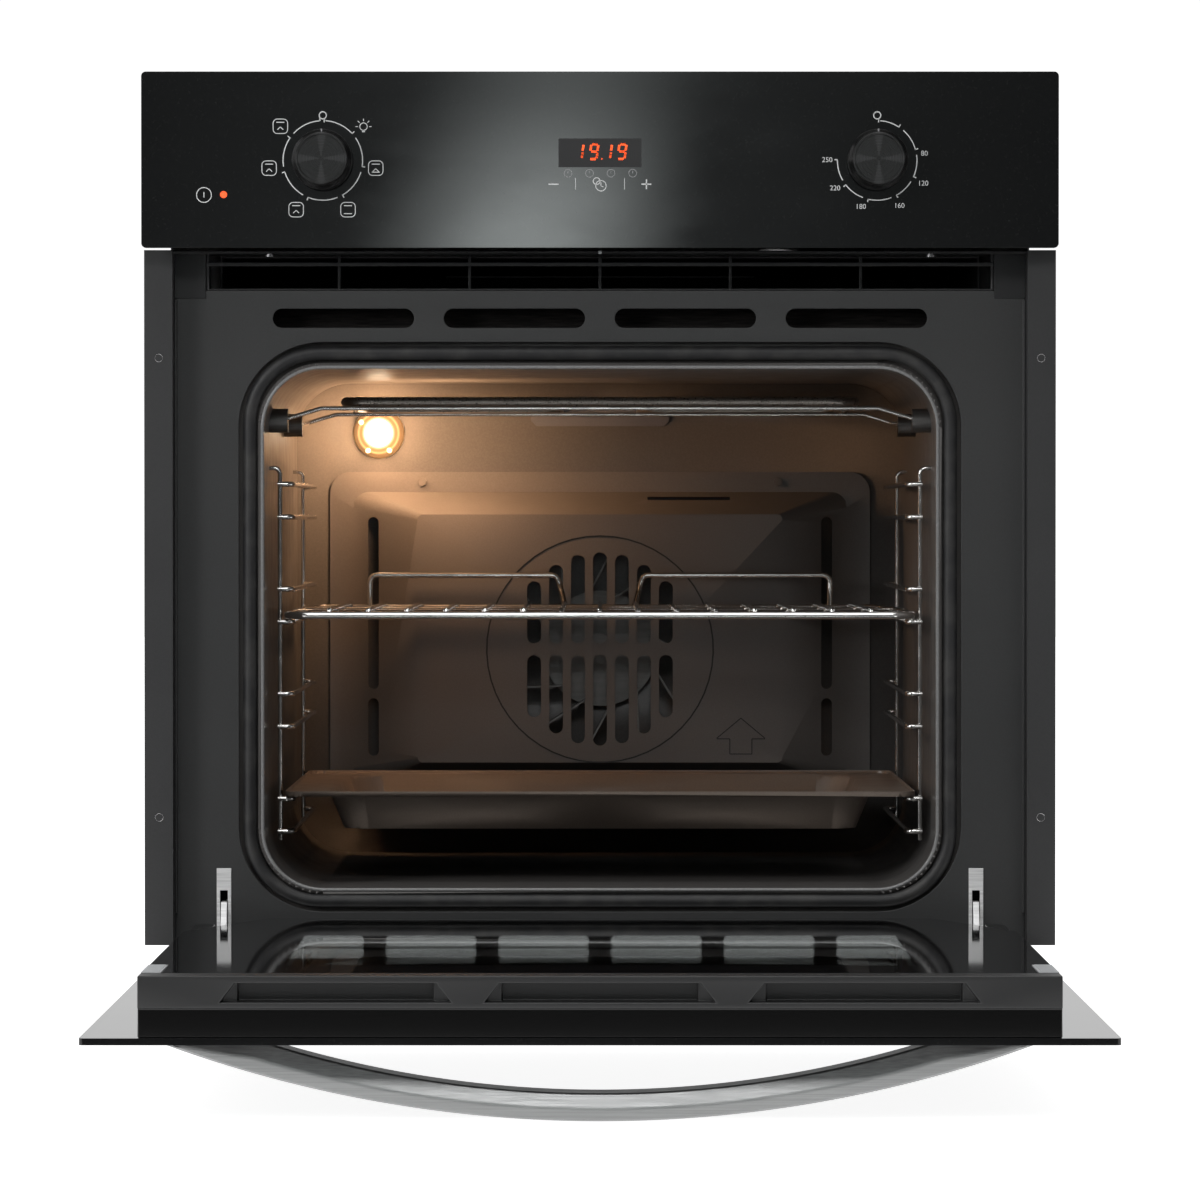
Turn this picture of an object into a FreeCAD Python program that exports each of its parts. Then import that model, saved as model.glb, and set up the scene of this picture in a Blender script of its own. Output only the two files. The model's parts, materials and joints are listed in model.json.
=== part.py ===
import FreeCAD, Part

import math
import os
import re

import Sketcher

# Built-in electric oven, door open. Millimetres, +X right, +Y to the rear, +Z up, origin at the
# centre of the flat underside of the base. "Depth" means distance behind the trim plane, the
# plane of the cabinet's front edge that the side trims lie on.

SIZES = {
    # overall
    "front_width": 595, "front_height": 595, "panel_height": 114.2,
    "body_width": 560, "body_depth": 528, "body_height": 588, "sheet": 1, "trim_step": 20,
    # trims and the four cabinet screws
    "trim_width": 17.5, "trim_low": 26.4, "trim_high": 480.4,
    "screw_x": 288, "screw_low": 110, "screw_high": 410, "screw_hole": 2.6,
    # front frame
    "frame_gauge": 1.2, "frame_top": 454.9, "mouth_x": 237, "mouth_low": 47, "mouth_high": 421,
    "mouth_round": 55, "slot_x": 168.3, "slot_pitch": 112.2, "slot_long": 92.6, "slot_high": 12.5,
    "slot_z": 436.7, "hinge_x": 247,
    # cavity
    "cavity_x": 221, "cavity_low": 62, "cavity_high": 404, "cavity_back": 430, "cavity_round": 39,
    "liner": 1.2, "lip_depth": 21, "flange_depth": 27.3, "flange_reach": 21,
    "seal_radius": 4.5, "seal_x": 230, "seal_depth": 22.7, "seal_round": 46,
    # lamp, fan and baffle
    "lamp_x": -161.4, "lamp_z": 367.8, "lamp_radius": 18.3, "fan_z": 210.9, "fan_radius": 75,
    "shaft_radius": 4, "running_gap": 0.05, "baffle_x": 197, "baffle_low": 98, "baffle_high": 339.5,
    "slope_x": 180.5, "slope_low": 112, "slope_high": 324.9, "plate_x": 132, "plate_low": 128.8,
    "plate_high": 308.5, "plate_depth": 395, "plate_round": 4, "slope_round": 12,
    "vent_pitch": 15.9, "vent_wide": 10, "baffle_gauge": 1.2, "baffle_screw_x": 129.7,
    "baffle_screw_z": 332.2,
    # heating elements and their support
    "heater_radius": 3.25, "grill_z": 384, "grill_x": 172, "grill_front": 120, "grill_rear": 404,
    "heater_leg_x": 30, "flange_x": 50.5, "nut_radius": 8, "nut_long": 12.5,
    "bottom_z": 54, "bottom_x": 150, "wire_radius": 1.4, "support_z": 379,
    # side racks, shelf and tray
    "rack_x": 214, "rack_front": 88, "rack_rear": 376, "rack_radius": 1.5, "rail_x": 205.5,
    "rail_radius": 1.8, "rail_low": 96.2, "rail_pair": 21.9, "level_pitch": 70.05,
    "shelf_x": 208, "shelf_z": 241, "shelf_bar": 2.65, "shelf_front": 66, "shelf_rear": 385,
    "shelf_wires": 15, "shelf_pitch": 25.7, "guard_height": 23.6,
    "tray_x": 210, "tray_z": 120.3, "tray_deep": 22.5, "tray_well_x": 181, "tray_slope": 9,
    # door, measured from the hinge axis
    "axis_depth": -7, "axis_z": 19.6, "door_reach": 457.4, "door_heel": 13.6, "skin_drop": 15,
    "glass": 4, "door_x": 264, "inner_rise": 24.6, "frame_heel": 5, "side_wide": 34,
    "heel_slot_x": 213.6, "heel_slot_long": 59.6, "heel_slot_z": 26.2, "heel_slot_pitch": 73.5,
    "door_gauge": 1.2, "trim_start": 437, "middle_x": 240, "middle_low": 19,
    "arm_wide": 4, "channel_wide": 12, "pin_radius": 3,
    # handle
    "handle_mid": 412.4, "handle_wide": 26, "bow_outer_x": 258, "bow_outer": 47,
    "bow_inner_x": 198, "bow_inner": 31, "handle_screw_x": 201.7,
    # control panel
    "panel_depth": -22, "panel_glass": 4, "carrier_x": 290, "carrier_low": 486,
    "carrier_high": 590, "carrier_wall": 2, "knob_x": 179.7, "knob_z": 537.4, "knob_radius": 19.4,
    "knob_front": 17.1, "knob_long": 23, "spindle_radius": 3, "indicator_x": -244.1,
    "indicator_z": 515.3, "indicator_radius": 2.2, "window_x": 36,
    # air path above the cavity
    "outlet_x": 258.3, "cap_low": 449.7, "duct_x": 250, "duct_low": 456, "duct_high": 478,
    "blower_depth": 345, "blower_z": 521, "blower_x": 112, "rotor_radius": 30,
}

TRIM = "(-body_depth / 2 - trim_step)"
BACK = "(body_depth / 2)"
PANEL_LOW = "(front_height - panel_height)"

doc = FreeCAD.newDocument("wall_oven")
dims = doc.addObject("Spreadsheet::Sheet", "dims")
for row, (alias, size) in enumerate(SIZES.items(), start=1):
    dims.set(f"A{row}", alias)
    dims.set(f"B{row}", str(size))
    dims.setAlias(f"B{row}", alias)
doc.recompute()

PIECES = {}
V = FreeCAD.Vector
ALONG = {
    "x": FreeCAD.Rotation(V(0, 1, 0), 90),
    "y": FreeCAD.Rotation(V(1, 0, 0), -90),
    "z": FreeCAD.Rotation(),
}


def tied(formula):
    """A formula with each size's name pointed at its cell of the sheet."""
    return re.sub(r"[a-z_]+", lambda word: f"dims.{word[0]}" if word[0] in SIZES else word[0],
                  str(formula))


def number(formula):
    """The value that a formula has now."""
    return float(dims.evalExpression(tied(formula)))


def depth(formula):
    """The Y formula of a distance behind the trim plane."""
    return f"({TRIM} + ({formula}))"


def reach(formula):
    """The Y formula of a distance from the hinge axis towards the open door's tip."""
    return f"({TRIM} + axis_depth - ({formula}))"


def rise(formula):
    """The Z formula of a height above the hinge axis."""
    return f"(axis_z + ({formula}))"


def point(x, y, z):
    """A point from three formulas."""
    return V(number(x), number(y), number(z))


def bind(item, **formulas):
    """Tie properties to formulas, with __ in a property's name for a dot."""
    for name, formula in formulas.items():
        item.setExpression(name.replace("__", "."), tied(formula))


def sided(sign, near, far):
    """The X span between two distances from the middle, on the left (-1) or the right (1)."""
    return (near, far) if sign > 0 else (f"-({far})", f"-({near})")


def keep(label, item):
    """Name an object as a sub-part."""
    item.Label = label
    PIECES[label] = item
    return item


# ---- Part primitives ----

def block(x, y, z, name="block"):
    """A box between two formulas on each axis."""
    box = doc.addObject("Part::Box", name)
    bind(box, Length=f"({x[1]}) - ({x[0]})", Width=f"({y[1]}) - ({y[0]})",
         Height=f"({z[1]}) - ({z[0]})", Placement__Base__x=x[0], Placement__Base__y=y[0],
         Placement__Base__z=z[0])
    return box


def rod(axis, radius, low, high, x="0", y="0", z="0", name="rod"):
    """A cylinder between two formulas along one axis."""
    bar = doc.addObject("Part::Cylinder", name)
    bar.Placement.Rotation = ALONG[axis]
    start = {"x": x, "y": y, "z": z, axis: low}
    bind(bar, Radius=radius, Height=f"({high}) - ({low})", Placement__Base__x=start["x"],
         Placement__Base__y=start["y"], Placement__Base__z=start["z"])
    return bar


def joined(pieces, name="joined"):
    """One solid of overlapping or touching pieces."""
    item = doc.addObject("Part::MultiFuse", name)
    item.Shapes = pieces
    return item


def grouped(pieces, name="group"):
    """Separate solids kept together."""
    item = doc.addObject("Part::Compound", name)
    item.Links = pieces
    return item


def without(base, tools, name="cut"):
    """A base with one tool or several taken away."""
    item = doc.addObject("Part::Cut", name)
    item.Base = base
    item.Tool = tools[0] if len(tools) == 1 else joined(tools)
    return item


def shaped(label, shape):
    """A sub-part whose shape is worked out here from the sheet's sizes."""
    item = doc.addObject("Part::Feature", label)
    item.Shape = shape
    item.Placement = FreeCAD.Placement()
    return keep(label, item)


# ---- PartDesign features ----

def new_body(label):
    return keep(label, doc.addObject("PartDesign::Body", label))


def sketch_on(body, plane, height):
    """An empty sketch parallel to one of the body's planes; height is along its normal."""
    sketch = body.newObject("Sketcher::SketchObject", "sketch")
    support = next(f for f in body.Origin.OriginFeatures if f.Role == f"{plane}_Plane")
    sketch.AttachmentSupport = [(support, "")]
    sketch.MapMode = "FlatFace"
    bind(sketch, AttachmentOffset__Base__z=f"-({height})" if plane == "XZ" else height)
    return sketch


def hold(sketch, kind, *where, value):
    """Add a constraint whose value is a formula."""
    index = sketch.addConstraint(Sketcher.Constraint(kind, *where, number(value)))
    sketch.setExpression(f"Constraints[{index}]", tied(value))


def outline(body, plane, height, corners):
    """A closed outline of straight sides through corners given as pairs of formulas."""
    sketch = sketch_on(body, plane, height)
    places = [V(number(u), number(v), 0) for u, v in corners]
    for start, end in zip(places, places[1:] + places[:1]):
        sketch.addGeometry(Part.LineSegment(start, end), False)
    for side, (u, v) in enumerate(corners):
        sketch.addConstraint(
            Sketcher.Constraint("Coincident", side, 2, (side + 1) % len(corners), 1))
        hold(sketch, "DistanceX", -1, 1, side, 1, value=u)
        hold(sketch, "DistanceY", -1, 1, side, 1, value=v)
    return sketch


def circles(body, plane, height, radius, centres):
    """Circles of one radius at centres given as pairs of formulas."""
    sketch = sketch_on(body, plane, height)
    for index, (u, v) in enumerate(centres):
        circle = Part.Circle(V(number(u), number(v), 0), V(0, 0, 1), number(radius))
        sketch.addGeometry(circle, False)
        hold(sketch, "Radius", index, value=radius)
        hold(sketch, "DistanceX", -1, 1, index, 3, value=u)
        hold(sketch, "DistanceY", -1, 1, index, 3, value=v)
    return sketch


def rectangle(u, v):
    return [(u[0], v[0]), (u[1], v[0]), (u[1], v[1]), (u[0], v[1])]


def rounded_outline(body, plane, height, u, v, radius):
    """A rectangle between two formulas each way, with four equal corner arcs."""
    sketch = sketch_on(body, plane, height)
    bend = number(radius)
    turn = math.pi / 2
    corners = [V(number(x), number(y), 0) for x, y in rectangle(u, v)]
    for index, corner in enumerate(corners):
        ahead = (corners[(index + 1) % 4] - corner).normalize()
        behind = (corners[index - 1] - corner).normalize()
        after = corners[(index + 1) % 4]
        centre = corner + (ahead + behind) * bend
        start = (index + 2) * turn
        arc = Part.ArcOfCircle(Part.Circle(centre, V(0, 0, 1), bend), start, start + turn)
        sketch.addGeometry(arc, False)
        sketch.addGeometry(Part.LineSegment(corner + ahead * bend, after - ahead * bend), False)
    for index in range(4):
        arc, side, following = 2 * index, 2 * index + 1, (2 * index + 2) % 8
        sketch.addConstraint(Sketcher.Constraint("Tangent", arc, 2, side, 1))
        sketch.addConstraint(Sketcher.Constraint("Tangent", side, 2, following, 1))
        sketch.addConstraint(Sketcher.Constraint("Horizontal" if index % 2 == 0 else "Vertical",
                                                 side))
    for arc in (2, 4, 6):
        sketch.addConstraint(Sketcher.Constraint("Equal", 0, arc))
    hold(sketch, "Radius", 0, value=radius)
    hold(sketch, "DistanceY", -1, 1, 1, 1, value=v[0])
    hold(sketch, "DistanceX", -1, 1, 3, 1, value=u[1])
    hold(sketch, "DistanceY", -1, 1, 5, 1, value=v[1])
    hold(sketch, "DistanceX", -1, 1, 7, 1, value=u[0])
    return sketch


def feature(body, kind, sketch, length):
    item = body.newObject(f"PartDesign::{kind}", kind)
    item.Profile = sketch
    bind(item, Length=length)
    doc.recompute()
    return item


def pad(body, plane, span, corners):
    """Add material between two heights along a plane's axis."""
    start = span[1] if plane == "XZ" else span[0]
    return feature(body, "Pad", outline(body, plane, start, corners), f"({span[1]}) - ({span[0]})")


def rounded_pad(body, plane, span, u, v, radius):
    """Add a slab with rounded corners."""
    start = span[1] if plane == "XZ" else span[0]
    sketch = rounded_outline(body, plane, start, u, v, radius)
    return feature(body, "Pad", sketch, f"({span[1]}) - ({span[0]})")


def rounded_pocket(body, plane, span, u, v, radius):
    """Cut an opening with rounded corners."""
    start = span[0] if plane == "XZ" else span[1]
    before = body.Shape.Volume
    sketch = rounded_outline(body, plane, start, u, v, radius)
    item = feature(body, "Pocket", sketch, f"({span[1]}) - ({span[0]})")
    assert item.Shape.Volume < before, f"{body.Label}: an opening cut nothing"
    return item


def pocket(body, plane, span, corners):
    """Take material away between two heights along a plane's axis."""
    start = span[0] if plane == "XZ" else span[1]
    before = body.Shape.Volume
    item = feature(body, "Pocket", outline(body, plane, start, corners),
                   f"({span[1]}) - ({span[0]})")
    assert item.Shape.Volume < before, f"{body.Label}: a pocket cut nothing"
    return item


def bores(body, plane, span, radius, centres):
    """Round holes between two heights along a plane's axis."""
    start = span[0] if plane == "XZ" else span[1]
    before = body.Shape.Volume
    item = feature(body, "Pocket", circles(body, plane, start, radius, centres),
                   f"({span[1]}) - ({span[0]})")
    assert item.Shape.Volume < before, f"{body.Label}: a hole cut nothing"
    return item


def edges_along(body, axis, inside):
    """Names of the straight edges along one axis whose middles lie inside a box."""
    low, high = inside
    names = []
    for index, edge in enumerate(body.Tip.Shape.Edges, start=1):
        ends = edge.Vertexes
        if edge.Curve.TypeId != "Part::GeomLine" or len(ends) < 2:
            continue
        way = (ends[1].Point - ends[0].Point).normalize()
        middle = (ends[0].Point + ends[1].Point) * 0.5
        if abs(way.dot(axis)) > 0.999 and all(
                a - 0.01 <= b <= c + 0.01 for a, b, c in zip(low, middle, high)):
            names.append(f"Edge{index}")
    return names


def rounded(body, radius, axis, inside):
    """Fillet the straight edges along one axis whose middles lie inside a box."""
    base = body.Tip
    names = edges_along(body, axis, inside)
    assert names, f"{body.Label}: no edge to round"
    item = body.newObject("PartDesign::Fillet", "Fillet")
    item.Base = (base, names)
    bind(item, Radius=radius)
    doc.recompute()
    return item


def everywhere():
    """A box around the whole oven, for rounding every edge along an axis."""
    corner = V(1, 1, 1) * 3 * number("door_reach")
    return corner * -1, corner


def repeated(body, original, direction, length, count):
    """A row of copies of one feature."""
    pattern = body.newObject("PartDesign::LinearPattern", "LinearPattern")
    pattern.Originals = [original]
    axis = next(f for f in body.Origin.OriginFeatures if f.Role == direction)
    pattern.Direction = (axis, [""])
    bind(pattern, Length=length)
    pattern.Occurrences = count
    body.Tip = pattern
    doc.recompute()
    return pattern


def turned(label, profile, x="0", z="0"):
    """A piece turned about an axis along Y, from (radius, Y) pairs."""
    body = new_body(label)
    sketch = outline(body, "XY", "0", profile)
    revolution = body.newObject("PartDesign::Revolution", "Revolution")
    revolution.Profile = sketch
    revolution.ReferenceAxis = (sketch, ["V_Axis"])
    bind(body, Placement__Base__x=x, Placement__Base__z=z)
    doc.recompute()
    return body


# ---- bent bars and pressed sheets ----

def bar_path(points, bend):
    """Straight runs joined by tangent arcs of one radius."""
    edges = []
    start = points[0]
    for before, corner, after in zip(points, points[1:], points[2:]):
        into = (corner - before).normalize()
        out = (after - corner).normalize()
        half = into.getAngle(out) / 2
        setback = bend * math.tan(half)
        first = corner - into * setback
        last = corner + out * setback
        middle = corner + (out - into).normalize() * (bend / math.cos(half) - bend)
        edges.append(Part.LineSegment(start, first).toShape())
        edges.append(Part.Arc(first, middle, last).toShape())
        start = last
    edges.append(Part.LineSegment(start, points[-1]).toShape())
    return Part.Wire(edges)


def bent_bar(points, radius, bend):
    """A round bar along straight runs joined by arcs."""
    path = bar_path(points, bend)
    profile = Part.Wire(Part.makeCircle(radius, points[0], points[1] - points[0]))
    bar = path.makePipeShell([profile], True, True)
    section = math.pi * radius ** 2
    assert abs(bar.Volume / (path.Length * section) - 1) < 0.02, "a bent bar lost its section"
    return bar


def straight_bar(start, end, radius):
    way = end - start
    return Part.makeCylinder(radius, way.Length, start, way)


def welded(bars):
    """Crossing bars as one solid."""
    return bars[0].multiFuse(bars[1:]).removeSplitter()


def rounded_loop(x, z_span, y, radius):
    """A rounded rectangle in a plane of constant Y, as a wire."""
    low, high = z_span
    corners = [V(0, y, low), V(x, y, low), V(x, y, high), V(-x, y, high), V(-x, y, low),
               V(0, y, low)]
    return bar_path(corners, radius)


def flat_loop(x, y_span, z, radius):
    """A rounded rectangle in a plane of constant Z, as a wire."""
    low, high = y_span
    corners = [V(0, low, z), V(x, low, z), V(x, high, z), V(-x, high, z), V(-x, low, z),
               V(0, low, z)]
    return bar_path(corners, radius)


def lofted(loops):
    return Part.makeLoft(loops, True, True)


# ---- casing ----

def build_side_panel(label, sign):
    """A side wall with its front edge turned out as the trim that screws to the cabinet."""
    body = new_body(label)
    wall = sided(sign, "body_width / 2 - sheet", "body_width / 2")
    trim = sided(sign, "body_width / 2 - sheet", "body_width / 2 + trim_width")
    pad(body, "YZ", wall, [
        (TRIM, "trim_low"), (depth("trim_step"), "trim_low"), (depth("trim_step"), "0"),
        (f"{BACK} - sheet", "0"), (f"{BACK} - sheet", "body_height"), (TRIM, "body_height")])
    pad(body, "XZ", (TRIM, f"{TRIM} + sheet"), rectangle(trim, ("trim_low", "trim_high")))
    screw = "screw_x" if sign > 0 else "-screw_x"
    bores(body, "XZ", (TRIM, f"{TRIM} + sheet"), "screw_hole",
          [(screw, "screw_low"), (screw, "screw_high")])


def build_casing():
    inside = ("-(body_width / 2 - sheet)", "body_width / 2 - sheet")
    frame_back = depth("trim_step + frame_gauge")
    keep("base_pan", block(inside, (frame_back, f"{BACK} - sheet"), ("0", "sheet")))
    keep("top_cover",
         block(inside, (depth("0"), f"{BACK} - sheet"), ("body_height - sheet", "body_height")))
    rear = new_body("rear_panel")
    rear_y = (f"{BACK} - sheet", BACK)
    pad(rear, "XZ", rear_y,
        rectangle(("-body_width / 2", "body_width / 2"), ("0", "body_height")))
    for low, count in (("420", 9), ("60", 9)):
        slot = pocket(rear, "XZ", rear_y, rectangle(("-204", "-196"), (low, f"{low} + 60")))
        repeated(rear, slot, "X_Axis", "380", count)
    pocket(rear, "XZ", rear_y, rectangle(("155", "205"), ("512", "538")))
    terminal = block(("148", "212"), (f"{BACK} - 26", f"{BACK} - sheet"), ("505", "545"))
    wells = [rod("y", "3.5", f"{BACK} - 14", BACK, x=str(x), z="525") for x in (165, 180, 195)]
    keep("terminal_block", without(terminal, wells))


def build_front_frame():
    """The painted plate round the cavity mouth, with four air slots over it."""
    frame = new_body("front_frame")
    front = depth("trim_step")
    back = depth("trim_step + frame_gauge")
    edge = "body_width / 2 - sheet"
    pad(frame, "XZ", (front, back), rectangle((f"-({edge})", edge), ("sheet", "frame_top")))
    for sign in (-1, 1):
        pad(frame, "XZ", (depth("trim_step - 4"), front),
            rectangle(sided(sign, f"{edge} - 1.6", edge), ("trim_low + 20", "cap_low - 1")))
    rounded_pocket(frame, "XZ", (front, back), ("-mouth_x", "mouth_x"),
                   ("mouth_low", "mouth_high"), "mouth_round")
    slot = rounded_pocket(frame, "XZ", (front, back),
                          ("-slot_x - slot_long / 2", "-slot_x + slot_long / 2"),
                          ("slot_z - slot_high / 2", "slot_z + slot_high / 2"),
                          "slot_high * 0.49")
    repeated(frame, slot, "X_Axis", "slot_pitch * 3", 4)
    for sign in (-1, 1):
        pocket(frame, "XZ", (front, back),
               rectangle(sided(sign, "hinge_x - 3.5", "hinge_x + 3.5"), ("22", "61")))


def build_air_outlet():
    """The black outlet under the panel: a roof, a rail across it, ribs and a floor."""
    width = ("-outlet_x", "outlet_x")
    top = f"{PANEL_LOW} - 0.8"
    sill = "frame_top + 0.2"
    rail = block(width, (depth("trim_step - 0.6"), depth("trim_step + 2")), ("470.8", "473.2"))
    roof = block(width, (depth("2"), depth("38")), (f"{top} - 1.6", top))
    floor = block(width, (depth("trim_step"), depth("38")), (sill, "duct_low"))
    ribs = []
    for index in range(7):
        place = f"(-1 + {index} / 3) * (outlet_x - 1)"
        ribs.append(block((f"{place} - 1", f"{place} + 1"), (depth("trim_step + 10"), depth("38")),
                          (sill, top)))
    for sign in (-1, 1):
        ribs.append(block(sided(sign, "outlet_x - 2", "outlet_x"),
                          (depth("trim_step"), depth("trim_step + 11")), (sill, top)))
    keep("air_outlet_trim", joined([rail, roof, floor] + ribs))
    caps = []
    for sign in (-1, 1):
        cap = sided(sign, "outlet_x + 0.2", "body_width / 2 - sheet")
        plate = block(cap, (depth("trim_step - 1"), depth("trim_step")), ("cap_low", top))
        hood = block(cap, (depth("2"), depth("38")), (f"{top} - 1.6", top))
        stub = block(cap, (depth("trim_step"), depth("38")), (sill, top))
        caps.append(joined([plate, hood, stub]))
    keep("outlet_end_caps", grouped(caps))
    screws = [rod("y", "1.2", depth("1.2"), depth("2"), z=f"{top} - 1")]
    for x in ("-216", "216"):
        head = rod("z", "2.7", f"{top} - 3.7", f"{top} - 2.3", x=x, y=depth("7"))
        stem = rod("z", "1.5", f"{top} - 2.3", f"{top} - 1.6", x=x, y=depth("7"))
        screws.append(joined([head, stem]))
    keep("outlet_screws", grouped(screws))


def build_air_path():
    """The duct over the cavity and the cross-flow blower that pushes air forward through it."""
    duct = block(("-duct_x", "duct_x"), (depth("38"), depth("blower_depth + 20")),
                 ("duct_low", "duct_high"))
    bore = block(("-duct_x + sheet", "duct_x - sheet"),
                 (depth("37"), depth("blower_depth + 19")),
                 ("duct_low + sheet", "duct_high - sheet"))
    inlet = block(("-blower_x + 2", "blower_x - 2"),
                  (depth("blower_depth - 34"), depth("blower_depth + 10")),
                  ("duct_high - 2", "duct_high + 1"))
    keep("air_duct", without(duct, [bore, inlet]))
    axis_y = depth("blower_depth")
    scroll = joined([
        rod("x", "rotor_radius + 9", "-blower_x", "blower_x", y=axis_y, z="blower_z"),
        block(("-blower_x", "blower_x"), (depth("blower_depth - 36"), depth("blower_depth + 12")),
              ("duct_high", "blower_z"))])
    hollow = joined([
        rod("x", "rotor_radius + 7.5", "-blower_x + 1.5", "blower_x - 1.5", y=axis_y,
            z="blower_z"),
        block(("-blower_x + 1.5", "blower_x - 1.5"),
              (depth("blower_depth - 34.5"), depth("blower_depth + 10.5")),
              ("duct_high - 1", "blower_z"))])
    inlet_slot = block(("-blower_x + 10", "blower_x - 10"),
                       (depth("blower_depth - 12"), depth("blower_depth + 22")),
                       ("blower_z + rotor_radius", "blower_z + rotor_radius + 10"))
    shaft_hole = rod("x", "spindle_radius + running_gap", "-blower_x - 1", "blower_x + 1",
                     y=axis_y, z="blower_z")
    keep("blower_housing", without(scroll, [hollow, inlet_slot, shaft_hole]))
    can = joined([
        rod("x", "24", "blower_x", "blower_x + 30", y=axis_y, z="blower_z"),
        block(("blower_x", "blower_x + 3"),
              (depth("blower_depth - 30"), depth("blower_depth + 30")),
              ("blower_z - 20", "blower_z + 20"))])
    bearing = rod("x", "spindle_radius + running_gap", "blower_x - 1", "blower_x + 26", y=axis_y,
                  z="blower_z")
    keep("blower_motor", without(can, [bearing]))
    build_blower_rotor()


def build_blower_rotor():
    """Curved blades stand between end discs on one long spindle."""
    centre = point("0", depth("blower_depth"), "blower_z")
    half = number("blower_x") - 6
    radius = number("rotor_radius")
    pieces = [straight_bar(centre - V(half + 10, 0, 0), centre + V(half + 30, 0, 0),
                           number("spindle_radius"))]
    for x in (-half, -1, half - 2):
        pieces.append(Part.makeCylinder(radius, 2, centre + V(x, 0, 0), V(1, 0, 0)))
    blades = 18
    for index in range(blades):
        blade = Part.makeBox(2 * half, 6.5, 1)
        blade.translate(V(-half, radius - 7.2, -0.5))
        blade.rotate(V(0, radius - 4, 0), V(1, 0, 0), 25)
        blade.rotate(V(0, 0, 0), V(1, 0, 0), 360 * index / blades)
        blade.translate(centre)
        pieces.append(blade)
    shaped("blower_rotor", welded(pieces))


# ---- cavity ----

def build_liner():
    """The enamelled tub: flange, raised lip at the mouth and a rounded tunnel with a back wall."""
    liner = new_body("cavity_liner")

    def step(front, back, grow):
        """One stretch of the tub, its outside wider than the cavity by an amount."""
        x = f"cavity_x + {grow}"
        rounded_pad(liner, "XZ", (depth(front), depth(back)), (f"-({x})", x),
                    (f"cavity_low - {grow}", f"cavity_high + {grow}"), f"cavity_round + {grow}")

    step("flange_depth", "cavity_back + liner", "liner")
    step("flange_depth", "flange_depth + liner", "flange_reach")
    step("lip_depth", "flange_depth", "3.5")
    rounded_pocket(liner, "XZ", (depth("lip_depth"), depth("cavity_back")),
                   ("-cavity_x", "cavity_x"), ("cavity_low", "cavity_high"), "cavity_round")
    wall = (depth("cavity_back"), depth("cavity_back + liner"))
    bores(liner, "XZ", wall, "lamp_radius + 0.6", [("lamp_x", "lamp_z")])
    bores(liner, "XZ", wall, "shaft_radius + 4", [("0", "fan_z")])
    bores(liner, "XZ", wall, "heater_radius + 0.4",
          [("-heater_leg_x", "grill_z"), ("heater_leg_x", "grill_z")])


def build_gasket():
    low = number("mouth_low + mouth_x - seal_x")
    high = number("mouth_high - mouth_x + seal_x")
    y = number(depth("seal_depth"))
    path_x = number("seal_x")
    corners = [V(0, y, low), V(path_x, y, low), V(path_x, y, high), V(-path_x, y, high),
               V(-path_x, y, low), V(0, y, low)]
    shaped("door_gasket", bent_bar(corners, number("seal_radius"), number("seal_round")))


def build_insulation():
    """Mineral wool slabs round the tub, the rear one cut for the fan motor and the lamp."""
    far = "body_width / 2 - sheet - 6"
    near = "cavity_x + liner + 0.5"
    run = (depth("45"), depth("470"))
    slabs = [block((f"-({far})", far), run, ("cavity_high + liner + 0.5", "duct_low - 8"))]
    slabs.append(block((f"-({far})", far), run, ("8", "bottom_z - 6")))
    for sign in (-1, 1):
        slabs.append(block(sided(sign, near, far), run,
                           ("bottom_z - 6", "cavity_high + liner + 0.5")))
    rear_y = (depth("cavity_back + liner + 0.5"), depth("470"))
    rear = block((f"-({near})", near), rear_y, ("cavity_low", "cavity_high + liner + 0.5"))
    holes = [rod("y", "50", *rear_y, z="fan_z"),
             rod("y", "lamp_radius + 2", *rear_y, x="lamp_x", z="lamp_z")]
    for x in ("-heater_leg_x", "heater_leg_x"):
        holes.append(rod("y", "heater_radius + 1.5", *rear_y, x=x, z="grill_z"))
    slabs.append(without(rear, holes))
    keep("insulation_slabs", grouped(slabs))


def build_lamp():
    """A glass dome screwed over a capsule bulb in a ceramic socket behind the back wall."""
    turned("lamp_lens", [
        ("0", depth("cavity_back - 9")), ("lamp_radius * 0.55", depth("cavity_back - 8")),
        ("lamp_radius * 0.88", depth("cavity_back - 4.5")), ("lamp_radius", depth("cavity_back - 0.2")),
        ("lamp_radius", depth("cavity_back + 8")), ("lamp_radius - 2", depth("cavity_back + 8")),
        ("lamp_radius - 2", depth("cavity_back + 0.3")),
        ("lamp_radius * 0.78", depth("cavity_back - 3")),
        ("lamp_radius * 0.5", depth("cavity_back - 6")), ("0", depth("cavity_back - 7"))],
        "lamp_x", "lamp_z")
    turned("lamp_bulb", [
        ("0", depth("cavity_back - 5")), ("4", depth("cavity_back - 3.5")),
        ("6.5", depth("cavity_back + 1")), ("7", depth("cavity_back + 9")),
        ("5", depth("cavity_back + 16")), ("5", depth("cavity_back + 24")),
        ("0", depth("cavity_back + 24"))], "lamp_x", "lamp_z")
    turned("lamp_socket", [
        ("0", depth("cavity_back + 24")), ("5", depth("cavity_back + 24")),
        ("5", depth("cavity_back + 16")), ("lamp_radius", depth("cavity_back + 16")),
        ("lamp_radius", depth("cavity_back + 8")), ("lamp_radius + 1.5", depth("cavity_back + 8")),
        ("lamp_radius + 1.5", depth("cavity_back + 40")), ("0", depth("cavity_back + 40"))],
        "lamp_x", "lamp_z")


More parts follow.
